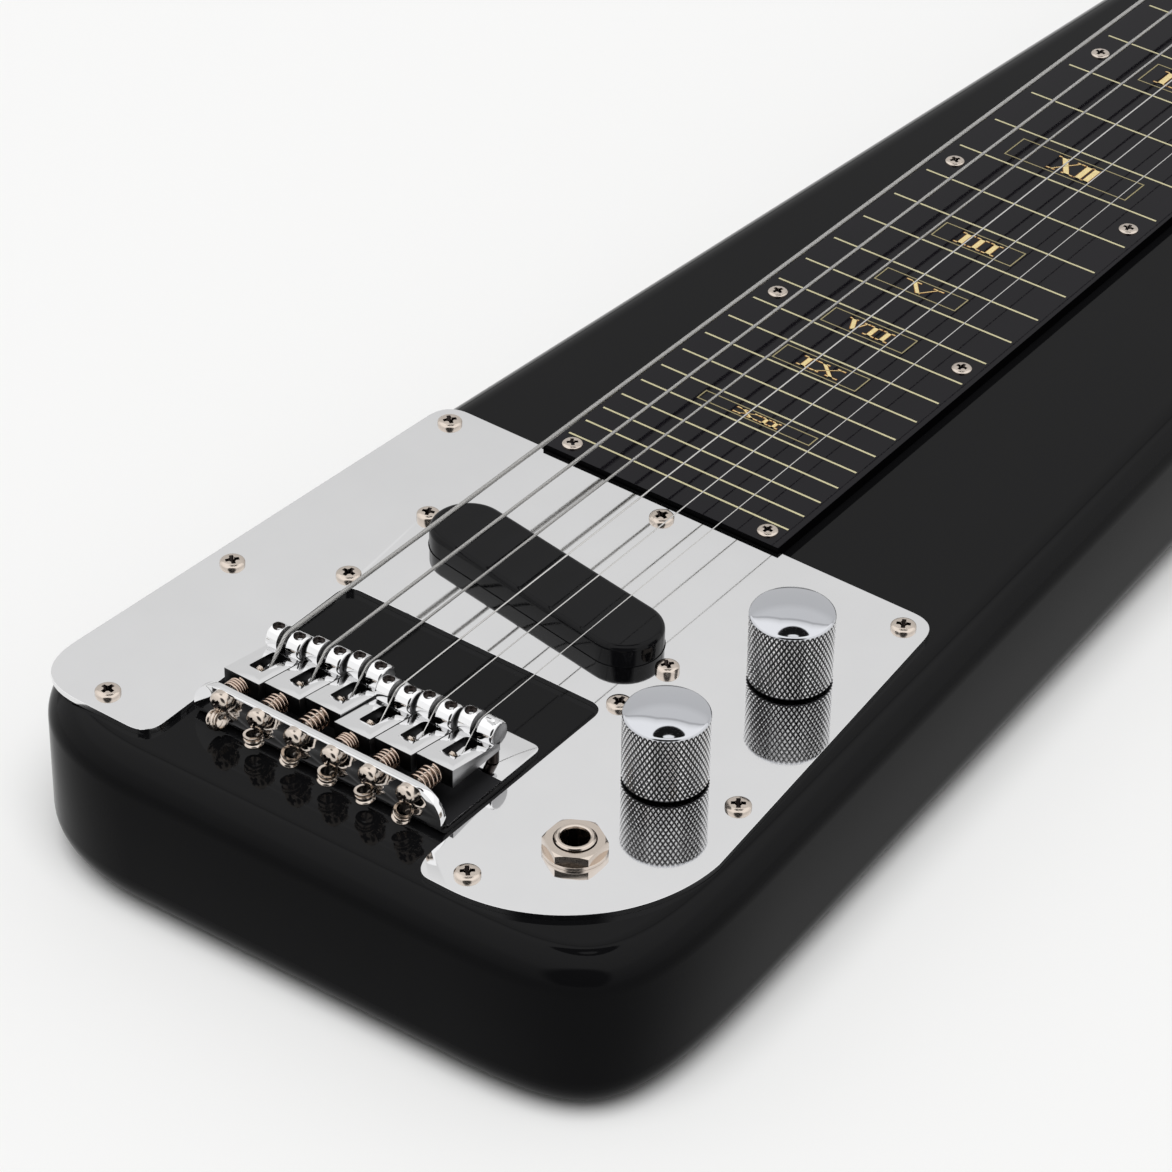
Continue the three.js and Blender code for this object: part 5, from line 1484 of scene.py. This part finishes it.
class LAPSTEEL_OT_bridge(PieceOperator):
    """Bent bridge plate, six slotted saddles, their screws and springs"""
    bl_idname = "lapsteel.bridge"
    bl_label = "Bridge"

    def execute(self, context):
        self.plate()
        for number in STRINGS:
            self.saddle(number)
            self.intonation_screw(number)
            self.spring(number)
        return {"FINISHED"}

    def plate(self):
        tail, front, half = -25 * MM, 12 * MM, 36 * MM
        thick, bend, rim = 2 * MM, 2.8 * MM, BODY_TOP + 11 * MM
        centre = tail + bend, BODY_TOP + bend
        section = [(front, BODY_TOP), (front, BODY_TOP + thick)]
        section += arc(*centre, bend - thick, math.pi * 1.5, math.pi, 6)
        section += [(FLANGE_FRONT, rim), (tail, rim)]
        section += arc(*centre, bend, math.pi, math.pi * 1.5, 10)
        bent = section_along_y(section, -half, half)
        r = 7.5 * MM  # round corners of the flange
        face = [(2 * MM - BODY_TOP, -half), (2 * MM - BODY_TOP, half)]
        face += arc(r - rim, half - r, r, math.pi / 2, math.pi, 10)
        face += arc(r - rim, r - half, r, math.pi, math.pi * 1.5, 10)
        end_view = placed(slab(face, tail - 2 * MM, front + 2 * MM), turn=ALONG_X)
        plan = mirrored([(tail - 2 * MM, -half, 0), (front, -half, 2.5 * MM)])
        bent = combined(bent, "INTERSECT", end_view,
                        slab(softened(plan, 8), BODY_TOP - 2 * MM, rim + 2 * MM))
        holes = []
        for number in STRINGS:
            for radius, z in ((1.8 * MM, INTONATION_Z), (1.4 * MM, STRING_HOLE_Z)):
                holes.append(placed(rod(radius, tail - 2 * MM, FLANGE_FRONT + 2 * MM, 20), 0,
                                    saddle_y(number), z, ALONG_X))
        bent = eased(combined(bent, "DIFFERENCE", *holes), 0.55 * MM, 50)
        # painted shade: behind the saddles the plate's floor and wall take near-black metal; the bevels stay
        # chrome
        shade_edge_x = -3 * MM
        bmesh.ops.bisect_plane(bent, geom=bent.verts[:] + bent.edges[:] + bent.faces[:], dist=1e-7,
                               plane_co=(shade_edge_x, 0, 0), plane_no=(1, 0, 0))

        def is_painted_shade(middle, normal):
            inner = middle.x < shade_edge_x and middle.z < rim - 0.7 * MM
            return inner and (normal.z > 0.9 or normal.x > 0.9)

        add_piece("bridge_sheet", marked(bent, is_painted_shade), "main", "chrome",
                  [metal("chrome"), metal("raw_casting")], "bridge_plate", smooth=24)
        head = screw_head(5.4 * MM, 0.08, 0.22)
        places = [(-8.5 * MM, side * 21.6 * MM, BODY_TOP + thick) for side in (-1, 0, 1)]
        add_piece("bridge_screws", scattered(head, places, 5), "main", "nickel", screw_finishes())

    def saddle(self, number):
        """One saddle, drawn round its own origin. Its finishes: chrome, near-black metal that paints shade,
        dark steel for the height screws, and darker chrome that paints shade on its ends."""
        sinks, screws = [], []
        top = BARREL_LIFT + BARREL
        for side in (-1, 1):
            at = side * 3.1 * MM
            sinks.append(placed(rod(1.55 * MM, top - 1.1 * MM, top + 2 * MM, 24), 0, at))
            grub = rod(1.45 * MM, BODY_TOP + 2.3 * MM - SLAB_BOTTOM, top - 0.8 * MM, 24)
            key = rod(0.75 * MM, top - 2.4 * MM, top + 1 * MM, 6)
            screw = placed(combined(grub, "DIFFERENCE", key), 0, at)
            screws.append(marked(screw, lambda middle, normal: 2))
        half = 5.15 * MM
        whole = merged(self.seat(half), self.barrel(half, string_radius(number) + 0.3 * MM, sinks), *screws)
        placed(whole, saddle_x(number), saddle_y(number), SLAB_BOTTOM)
        finishes = [metal(name) for name in ("chrome", "raw_casting", "blackened_steel", "brushed_chrome")]
        node = f"saddle_{number}"
        add_piece(f"saddle_block_{number}", whole, node, "chrome", finishes, node, smooth=30)

    @staticmethod
    def seat(half):
        """The slotted block behind the barrel, tapped for the intonation screw."""
        front, rear, end = 2.6 * MM, 5 * MM, -17.2 * MM
        section = [(0, 0), (0, front), (-BARREL, front), (end, rear), (end, 0)]
        seat = section_along_y(section, -half, half)
        wide, slot_end, slot_front = 2.05 * MM, -12.4 * MM, -3.1 * MM
        corners = mirrored([(slot_end, -wide, 0.8 * MM), (slot_front, -wide, 1.6 * MM)])
        slot = slab(softened(corners, 8), -2 * MM, 8 * MM)
        tapped = placed(rod(1.8 * MM, -20 * MM, -10 * MM, 20), 0, 0, INTONATION_Z - SLAB_BOTTOM, ALONG_X)
        seat = eased(combined(seat, "DIFFERENCE", slot, tapped), 0.18 * MM, 50)

        def finish_at(middle, normal):
            between = slot_end - 0.2 * MM < middle.x < slot_front + 0.3 * MM
            in_slot = between and abs(middle.y) < wide + 0.2 * MM and abs(normal.z) < 0.5
            # painted shade: slot walls, underside and rear face near-black; the ends between neighbours
            # darker chrome
            if in_slot or normal.z < -0.5 or normal.x < -0.9:
                return 1
            return 3 if abs(normal.y) > 0.9 else 0

        return marked(seat, finish_at)

    @staticmethod
    def barrel(half, groove_half, sinks):
        """The round front of a saddle, with the string's groove and a sink for each height screw."""
        edge = 0.9 * MM
        profile = [(0, -half)] + arc(BARREL - edge, edge - half, edge, -math.pi / 2, 0, 6)
        barrel = placed(lathe(mirrored(profile), 56), 0, 0, BARREL_LIFT, ALONG_Y)
        profile = mirrored([(2 * MM, -groove_half), (5 * MM, -groove_half - 1.2 * MM)])
        groove = placed(lathe(profile + profile[:1], 48), 0, 0, BARREL_LIFT, ALONG_Y)
        barrel = eased(combined(barrel, "DIFFERENCE", groove, *sinks), 0.1 * MM, 45)

        def finish_at(middle, normal):
            deep = math.hypot(middle.x, middle.z - BARREL_LIFT) < BARREL * 0.93
            # painted shade: the groove's lower wall near-black, its upper wall and the barrel's ends darker
            # chrome
            if deep and abs(middle.y) < groove_half + 1 * MM:
                return 1 if middle.z < BARREL_LIFT + 0.5 * MM else 3
            return 3 if abs(normal.y) > 0.8 else 0

        return marked(barrel, finish_at)

    def intonation_screw(self, number):
        name = f"intonation_screw_{number}"
        seat, thread_from, tip = -25.3 * MM, FLANGE_FRONT, box(name)[1].x + 2 * MM
        head = screw_head(5.2 * MM, 0.14, 0.43)
        turn = Matrix.Rotation(-math.pi / 2, 4, "Y") @ Matrix.Rotation(0.7 * number, 4, "Z")
        placed(head, seat, 0, 0, turn)
        core, crest, pitch = 1.2 * MM, 1.5 * MM, 0.5 * MM
        steps = int((tip - thread_from - pitch) / (pitch / 2))
        profile = [(0, seat), (crest, seat), (crest, thread_from)]
        profile += [(core if i % 2 else crest, thread_from + pitch / 2 * (i + 1)) for i in range(steps)]
        profile += [(0.9 * MM, tip), (0, tip)]
        shank = placed(lathe(profile, 20), turn=ALONG_X)
        screw = placed(merged(head, shank), 0, saddle_y(number), INTONATION_Z)
        add_piece(f"intonation_bolt_{number}", screw, name, "nickel", screw_finishes(), name, smooth=30)

    def spring(self, number):
        s = sizes("bridge")
        start = FLANGE_FRONT + 0.35 * MM
        end = saddle_x(number) - 17.5 * MM
        wire = s.spring_wire / 2
        coil = spring_shaper().grow(bmesh.new(), {
            "Turns": s.spring_turns, "Radius": 2.7 * MM - wire, "Wire radius": wire,
            "Length": end - start - wire * 2, "Finish": metal("spring_wire")})
        placed(coil, start + wire, saddle_y(number), INTONATION_Z, ALONG_X)
        name = f"saddle_spring_{number}"
        stretch = ("main", f"saddle_{number}", (start, 0, INTONATION_Z), (end, 0, INTONATION_Z))
        add_piece(f"coil_spring_{number}", coil, stretch, "steel", metal("spring_wire"), name, smooth=50)


# Strings

def string_path(number):
    """The string's run from its ball end to the top of its saddle."""
    y = saddle_y(number)
    r = string_radius(number)
    x = saddle_x(number)
    under = SLAB_BOTTOM - 0.3 * MM - r
    bend_x = x - 9 * MM
    reach = 2.3 * MM + r
    dx, dz = bend_x - x, under - BARREL_Z
    start = math.atan2(dz, dx) + math.tau - math.acos(reach / math.hypot(dx, dz))
    points = [(-26.5 * MM, y, STRING_HOLE_Z), (FLANGE_FRONT + 0.3 * MM, y, STRING_HOLE_Z)]
    points += [(bend_x - 2 * MM + 2 * MM * t, y, under - 0.35 * MM * (1 - t)) for t in (0, 0.4, 0.8, 1)]
    return points + [(px, y, pz) for px, pz in arc(x, BARREL_Z, reach, start, math.pi / 2, 12)]


POST_WAIST, POST_HOLE_DEPTH = 2.5 * MM, 4 * MM


def winding(number):
    """The turns on the post and the tail in the post's hole."""
    x, y, outward = TUNERS[number]
    r = string_radius(number)
    hole = box(f"tuner_post_{number}")[1].z - POST_HOLE_DEPTH
    reach = POST_WAIST + 0.3 * MM + r
    dx, dy = NUT_FAR - x, string_y(number, sizes("bridge").nut_pitch) - y
    start = math.atan2(dy, dx) + outward * math.acos(reach / math.hypot(dx, dy))
    turns, steps = 2.25, 72
    rise = (r * 2 + 0.46 * MM) * turns
    points = []
    for step in range(steps + 1):
        angle = start + outward * turns * math.tau * step / steps
        points.append((x + math.cos(angle) * reach, y + math.sin(angle) * reach,
                       hole - rise * (1 - step / steps)))
    angle = start + outward * turns * math.tau
    for along in (-1.2, 0, 2, 5):
        points.append((x - math.cos(angle) * along * MM, y - math.sin(angle) * along * MM, hole))
    return points


class LAPSTEEL_OT_strings(PieceOperator):
    """Six strings from their ball ends to the posts: three wound, three plain"""
    bl_idname = "lapsteel.strings"
    bl_label = "Strings"

    def execute(self, context):
        for number in STRINGS:
            r = string_radius(number)
            finish = wound_wire() if number > 3 else metal("drawn_wire")
            y = string_y(number, sizes("bridge").nut_pitch)
            z = STRING_BASE + r
            path = string_path(number)
            ahead = (saddle_x(number) + 4 * MM, saddle_y(number), z)
            rear = tube([*path, ahead], r * 0.96, 12)
            front = tube([path[-1], (NUT_X, y, z), (NUT_FAR, y, z), *winding(number)], r, 12)
            ball = self.ball_end(number)
            saddle, top = f"saddle_{number}", Vector(path[-1])
            flange, bend = path[1], path[5]
            add_piece(f"string_rear_{number}", rear, ("main", saddle, flange, bend), "steel", finish,
                      smooth=60)
            stretch = (saddle, "main", top, top + Vector((100 * MM, 0, 0)))
            add_piece(f"string_run_{number}", front, stretch, "steel", finish, f"string_{number}", smooth=60)
            add_piece(f"ball_end_{number}", ball, "main", "steel", metal("nickel"), smooth=40)
        return {"FINISHED"}

    @staticmethod
    def ball_end(number):
        """The small bobbin at the string's end with the string looped round it."""
        tilt = Matrix.Rotation((0.3, -0.15, 0.1, 0.25, -0.1, 1.3)[number - 1], 4, "X")
        profile = mirrored([(1.65, -1.4), (2.3, -1.4), (2.35, -1.2), (2.3, -1.0), (1.9, -0.7)])
        bobbin = lathe([(r * MM, z * MM) for r, z in profile + profile[:1]], 28)
        r = max(string_radius(number) * 0.8, 0.2 * MM)
        bend = 2.05 * MM
        loop = tube([(bend * math.cos(a), bend * math.sin(a), 0.3 * MM * math.sin(a / 2))
                     for a in (math.radians(40 + 10 * i) for i in range(29))], r, 8)
        twist = tube([(1.9 * MM + t * 2.1 * MM, 0.45 * MM * math.cos(t * 9), 0.45 * MM * math.sin(t * 9))
                      for t in (i / 20 for i in range(21))], r, 8)
        ball = merged(bobbin, loop, twist)
        return placed(ball, -27.4 * MM, saddle_y(number), STRING_HOLE_Z, tilt)


# Tuners

MODULE, TEETH, WORM_RADIUS = 0.8 * MM, 14, 3 * MM
PITCH_RADIUS = MODULE * TEETH / 2
WORM_Z = 11.7 * MM
WORM_OFFSET = PITCH_RADIUS + WORM_RADIUS
FLANK = 0.36  # tangent of the angle of a tooth's flank


class LAPSTEEL_OT_tuners(PieceOperator):
    """Open tuners: posts with wheels, worm shafts with buttons, and their strips"""
    bl_idname = "lapsteel.tuners"
    bl_label = "Tuners"

    def execute(self, context):
        for number in STRINGS:
            self.post(number)
            self.shaft(number)
        for name, side in (("bass", 1), ("treble", -1)):
            self.strip(name, side)
        return {"FINISHED"}

    def post(self, number):
        x, y, _ = TUNERS[number]
        low, high = box(f"tuner_post_{number}")
        top, seat, r = high.z, 15.5 * MM, 3 * MM
        wheel_low, wheel_high = WORM_Z - 2 * MM, WORM_Z + 2 * MM
        profile = [(0, low.z), (1.4 * MM, low.z + 0.1 * MM), (2.5 * MM, wheel_low - 0.6 * MM),
                   (2.5 * MM, wheel_low), (3.7 * MM, wheel_low), (3.7 * MM, seat), (r, seat),
                   (r, top - 14 * MM), (POST_WAIST, top - 12.4 * MM), (POST_WAIST, top - 3.6 * MM),
                   (r, top - 2 * MM), (r, top - 0.5 * MM), (2.5 * MM, top), (0, top)]
        path = winding(number)
        angle = math.atan2(path[-1][1] - y, path[-1][0] - x)
        hole = placed(rod(1.3 * MM, -5 * MM, 5 * MM, 20), 0, 0, top - POST_HOLE_DEPTH,
                      Matrix.Rotation(angle, 4, "Z") @ ALONG_X)
        post = combined(lathe(profile, 40), "DIFFERENCE", hole)
        whole = placed(merged(post, self.wheel(wheel_low, wheel_high)), x, y)
        name = f"tuner_post_{number}"
        add_piece(f"string_post_{number}", whole, name, "nickel", metal("nickel"), name, smooth=24)

    def wheel(self, z0, z1):
        """Toothed wheel whose teeth lie along the worm's thread."""
        rise, sink = MODULE, MODULE * 1.25
        half = (math.pi * MODULE - 0.4 * MM) / 4
        slope = MODULE / (WORM_RADIUS * 2)  # of the thread round the worm
        tooth = mirrored([(PITCH_RADIUS - sink, -half - sink * FLANK), (PITCH_RADIUS, -half),
                          (PITCH_RADIUS + rise, -half + rise * FLANK)])
        mesh = bmesh.new()
        rings = []
        for level in range(5):
            z = z0 + (z1 - z0) * level / 4
            twist = (z - WORM_Z) * slope / PITCH_RADIUS
            ring = []
            for number in range(TEETH):
                middle = (number + 0.5) / TEETH * math.tau
                for radius, aside in tooth:
                    angle = middle + math.asin(aside / radius) + twist
                    ring.append(mesh.verts.new((radius * math.cos(angle), radius * math.sin(angle), z)))
            rings.append(ring)
        return facing_out(lofted(mesh, rings))

    def worm(self):
        """One ridge wound along y, phased to sit between the wheel's teeth."""
        pitch = math.pi * MODULE
        half = (pitch - 0.7 * MM) / 4
        core, tip = WORM_RADIUS - MODULE * 1.4, WORM_RADIUS + MODULE
        section = mirrored([(core, -half - (WORM_RADIUS - core) * FLANK), (tip, -half + MODULE * FLANK)])
        reach, per_turn = 4.1 * MM, 24
        turns = math.floor(reach / pitch * 8) / 8
        steps = int(turns * 2 * per_turn)
        mesh = bmesh.new()
        rings = []
        for step in range(steps + 1):
            turn = step / per_turn - turns
            angle = turn * math.tau - math.pi / 2
            rings.append([mesh.verts.new((math.sin(angle) * radius, turn * pitch + along,
                                          math.cos(angle) * radius)) for radius, along in section])
        return facing_out(lofted(mesh, rings))

    def shaft(self, number):
        x, y, outward = TUNERS[number]
        name = f"tuner_shaft_{number}"
        low, high = box(name)
        span, wide, thick, neck = 15 * MM, 8.5 * MM, 4.5 * MM, 3.5 * MM
        start = max(abs(low.y), abs(high.y)) - abs(y) - span
        widest, end = start + span * 0.55, start + span
        core = placed(rod(2 * MM, -7.8 * MM, start + 6 * MM, 32), turn=ALONG_Y)
        right = bezier((neck, start), (neck, start + span * 0.25), (wide, start + span * 0.2),
                       (wide, widest), 12)
        right += bezier((wide, widest), (wide, end), (neck, end), (0, end), 12)
        outline = right + [(0, end)] + [(-px, py) for px, py in right[::-1]]
        button = rounded_slab(outline, -thick, thick, 2.25 * MM, 2.25 * MM, 8)
        whole = merged(core, self.worm(), button)
        if outward < 0:
            placed(whole, turn=Matrix.Rotation(math.pi, 4, "X"))
        placed(whole, x + WORM_OFFSET, y, WORM_Z)
        add_piece(f"worm_shaft_{number}", whole, name, "nickel", metal("nickel"), name, smooth=35)

    def strip(self, name, side):
        node = "tuner_strip_" + name
        row = [place for place in TUNERS.values() if place[2] == side]
        low, high = box(node)
        y, half = side * TUNER_ROW, 8.5 * MM
        bottom, top = 15.8 * MM, 17 * MM
        outline = rounded_rectangle(low.x, high.x, y - half, y + half, half / 3, 8)
        plate = sheet(outline, [circle(px, y, 3.3 * MM, 40) for px, _, _ in row], bottom, top)
        wide, foot, root = 3 * MM, 8.7 * MM, 16.2 * MM
        side_view = softened([(-wide, foot, 2.4 * MM), (wide, foot, 2.4 * MM), (wide, root, 0),
                              (-wide, root, 0)], 8)
        lugs = []
        for px, _, _ in row:
            for lean in (-1, 1):
                a, b = sorted((y + lean * 5.5 * MM, y + lean * 6.8 * MM))
                lug = placed(section_along_y(side_view, a, b), px + WORM_OFFSET)
                bore = placed(rod(2.3 * MM, a - 1 * MM, b + 1 * MM, 32), px + WORM_OFFSET, 0, WORM_Z, ALONG_Y)
                lugs.append(combined(lug, "DIFFERENCE", bore))
        strip = eased(merged(plate, *lugs), 0.15 * MM, 50)
        add_piece("tuner_plate_" + name, strip, "main", "nickel", metal("nickel"), node)


# Stage

CAMERA_PLACE = Vector((-0.9982161, -0.5296220, 0.7250378))
CAMERA_RIGHT = Vector((0.60096, -0.79919, 0.01224))
CAMERA_DOWN = Vector((-0.47613, -0.37025, -0.79763))
LENS = 145.63


class LAPSTEEL_OT_stage(PieceOperator):
    """Pale floor, soft light and the camera"""
    bl_idname = "lapsteel.stage"
    bl_label = "Stage"

    def execute(self, context):
        self.camera(context.scene)
        self.floor()
        self.light(context.scene)
        context.scene.view_settings.view_transform = "Standard"
        return {"FINISHED"}

    def camera(self, scene):
        data = bpy.data.cameras.new("camera")
        data.lens = LENS
        data.sensor_width = 36
        data.clip_start = 0.01
        data.clip_end = 50
        camera = bpy.data.objects.new("camera", data)
        scene.collection.objects.link(camera)
        right = CAMERA_RIGHT.normalized()
        up = -CAMERA_DOWN.normalized()
        back = right.cross(up).normalized()
        up = back.cross(right)
        place = CAMERA_PLACE
        camera.matrix_world = Matrix(((right.x, up.x, back.x, place.x), (right.y, up.y, back.y, place.y),
                                      (right.z, up.z, back.z, place.z), (0, 0, 0, 1)))
        scene.camera = camera

    def floor(self):
        reach = 6
        mesh = bmesh.new()
        mesh.faces.new([mesh.verts.new((x, y, 0)) for x, y in rectangle(-reach, reach, -reach, reach)])
        floor = as_object(mesh, "floor")
        finish = Finish("pale_floor")
        base = tuple(sizes("stage").floor)
        floor.data.materials.append(finish.surface(
            Base_Color=finish.mix(finish.noise(0.4), scaled(base, 0.99), base), Roughness=0.9,
            Specular_IOR_Level=0.1))

    def light(self, scene):
        """A light tent that only reflections see, even daylight for the rest, and a soft overhead light.
        The tent has a dark opening on the camera's side, and a bright panel overhead with a seam, a round
        hole and a glow."""
        s = sizes("stage")
        world = bpy.data.worlds.new("studio")
        world.use_nodes = True
        tree = Tree(world.node_tree)
        world.node_tree.nodes.clear()
        paths = tree.node("ShaderNodeLightPath")
        seen = Level(tree, paths.outputs["Is Camera Ray"]).maths("MAXIMUM", paths.outputs["Is Glossy Ray"])
        seen = seen.maths("MAXIMUM", paths.outputs["Is Transmission Ray"])
        direction = tree.node("ShaderNodeTexCoord").outputs["Generated"]

        def near(centre):
            return tree.level("ShaderNodeVectorMath", {"operation": "DOT_PRODUCT"}, direction, centre,
                              output="Value")

        def disc(centre, outer, inner):
            return tree.eased(near(centre), math.cos(math.radians(outer)), math.cos(math.radians(inner)))

        toward_camera = Vector((-0.76, -0.53, 0.38)).normalized()
        opening = tree.eased(near(toward_camera), 0.80, 0.90, 0.0, s.opening)
        x, y, z = tree.axes(direction)
        ahead_x, ahead_y = 0.883, 0.469  # the way the camera looks, along the floor
        along = x * ahead_x + y * ahead_y
        height = z.maths("MAXIMUM", 0.02)
        aside = ((y * ahead_x - x * ahead_y) / height).maths("ABSOLUTE")
        past = along / height - (aside - 0.22).maths("MAXIMUM", 0.0) * 0.55 - 0.72
        panel = tree.eased(past, -0.2, 0.03, 0.4, 0.0)
        seam = tree.eased(past.maths("ABSOLUTE"), 0.012, 0.05, 0.3, 0.0)
        hole = disc((0.247, 0.131, 0.960), 12.3, 11.6)
        glow = disc((0.22, 0.117, 0.968), 5, 4)
        low = tree.eased(z, 0.02, 0.10, 0.75, 0.0)
        tent = (1 - opening) * (panel + 0.80) * (1 - seam) * (1 - hole * 0.99)
        tent = tent * (1 - low * tree.eased(along, 0.75, 0.9))
        tent = tent * tree.level("ShaderNodeMapRange", None, z, 0.54, 0.66, 0.93, 1.09) + glow * 1.2
        shown = tree.level("ShaderNodeMix", {"data_type": "FLOAT"}, paths.outputs["Is Camera Ray"], tent,
                           0.93)
        strength = seen * (shown - s.daylight) + s.daylight
        back = tree.node("ShaderNodeBackground", None, Color=(1, 1, 1, 1), Strength=strength)
        tree.node("ShaderNodeOutputWorld", None, Surface=back)
        scene.world = world
        lamp = bpy.data.lights.new("key", "SUN")
        lamp.angle = math.radians(s.softness)
        lamp.energy = s.key
        key = bpy.data.objects.new("key", lamp)
        key.visible_glossy = False
        scene.collection.objects.link(key)
        place = Vector((-1.2, -0.64, 4.0))
        key.matrix_world = Matrix.Translation(place) @ (-place).to_track_quat("-Z", "Y").to_matrix().to_4x4()


class LAPSTEEL_PT_panel(bpy.types.Panel):
    """Sizes, colours and pieces of the lap steel guitar"""
    bl_label = "Lap Steel Guitar"
    bl_idname = "LAPSTEEL_PT_panel"
    bl_space_type = "VIEW_3D"
    bl_region_type = "UI"
    bl_category = "Lap Steel"

    def draw(self, context):
        for name, group in GROUPS.items():
            column = self.layout.box().column()
            column.label(text=group.__name__)
            for key in group.__annotations__:
                column.prop(getattr(context.scene, name), key)
        for operator in OPERATORS:
            self.layout.operator(operator.bl_idname)


OPERATORS = (LAPSTEEL_OT_stage, LAPSTEEL_OT_body, LAPSTEEL_OT_plate, LAPSTEEL_OT_fretboard, LAPSTEEL_OT_nut,
             LAPSTEEL_OT_pickup, LAPSTEEL_OT_knobs, LAPSTEEL_OT_jack, LAPSTEEL_OT_bridge, LAPSTEEL_OT_strings,
             LAPSTEEL_OT_tuners)
CLASSES = (*GROUPS.values(), *OPERATORS, LAPSTEEL_PT_panel)


def register():
    for each in CLASSES:
        bpy.utils.register_class(each)
    for name, group in GROUPS.items():
        setattr(bpy.types.Scene, name, bpy.props.PointerProperty(type=group))


def unregister():
    for name in GROUPS:
        delattr(bpy.types.Scene, name)
    for each in reversed(CLASSES):
        bpy.utils.unregister_class(each)


def main():
    register()
    for operator in OPERATORS:
        group, name = operator.bl_idname.split(".")
        getattr(getattr(bpy.ops, group), name)()


if __name__ == "__main__":
    main()
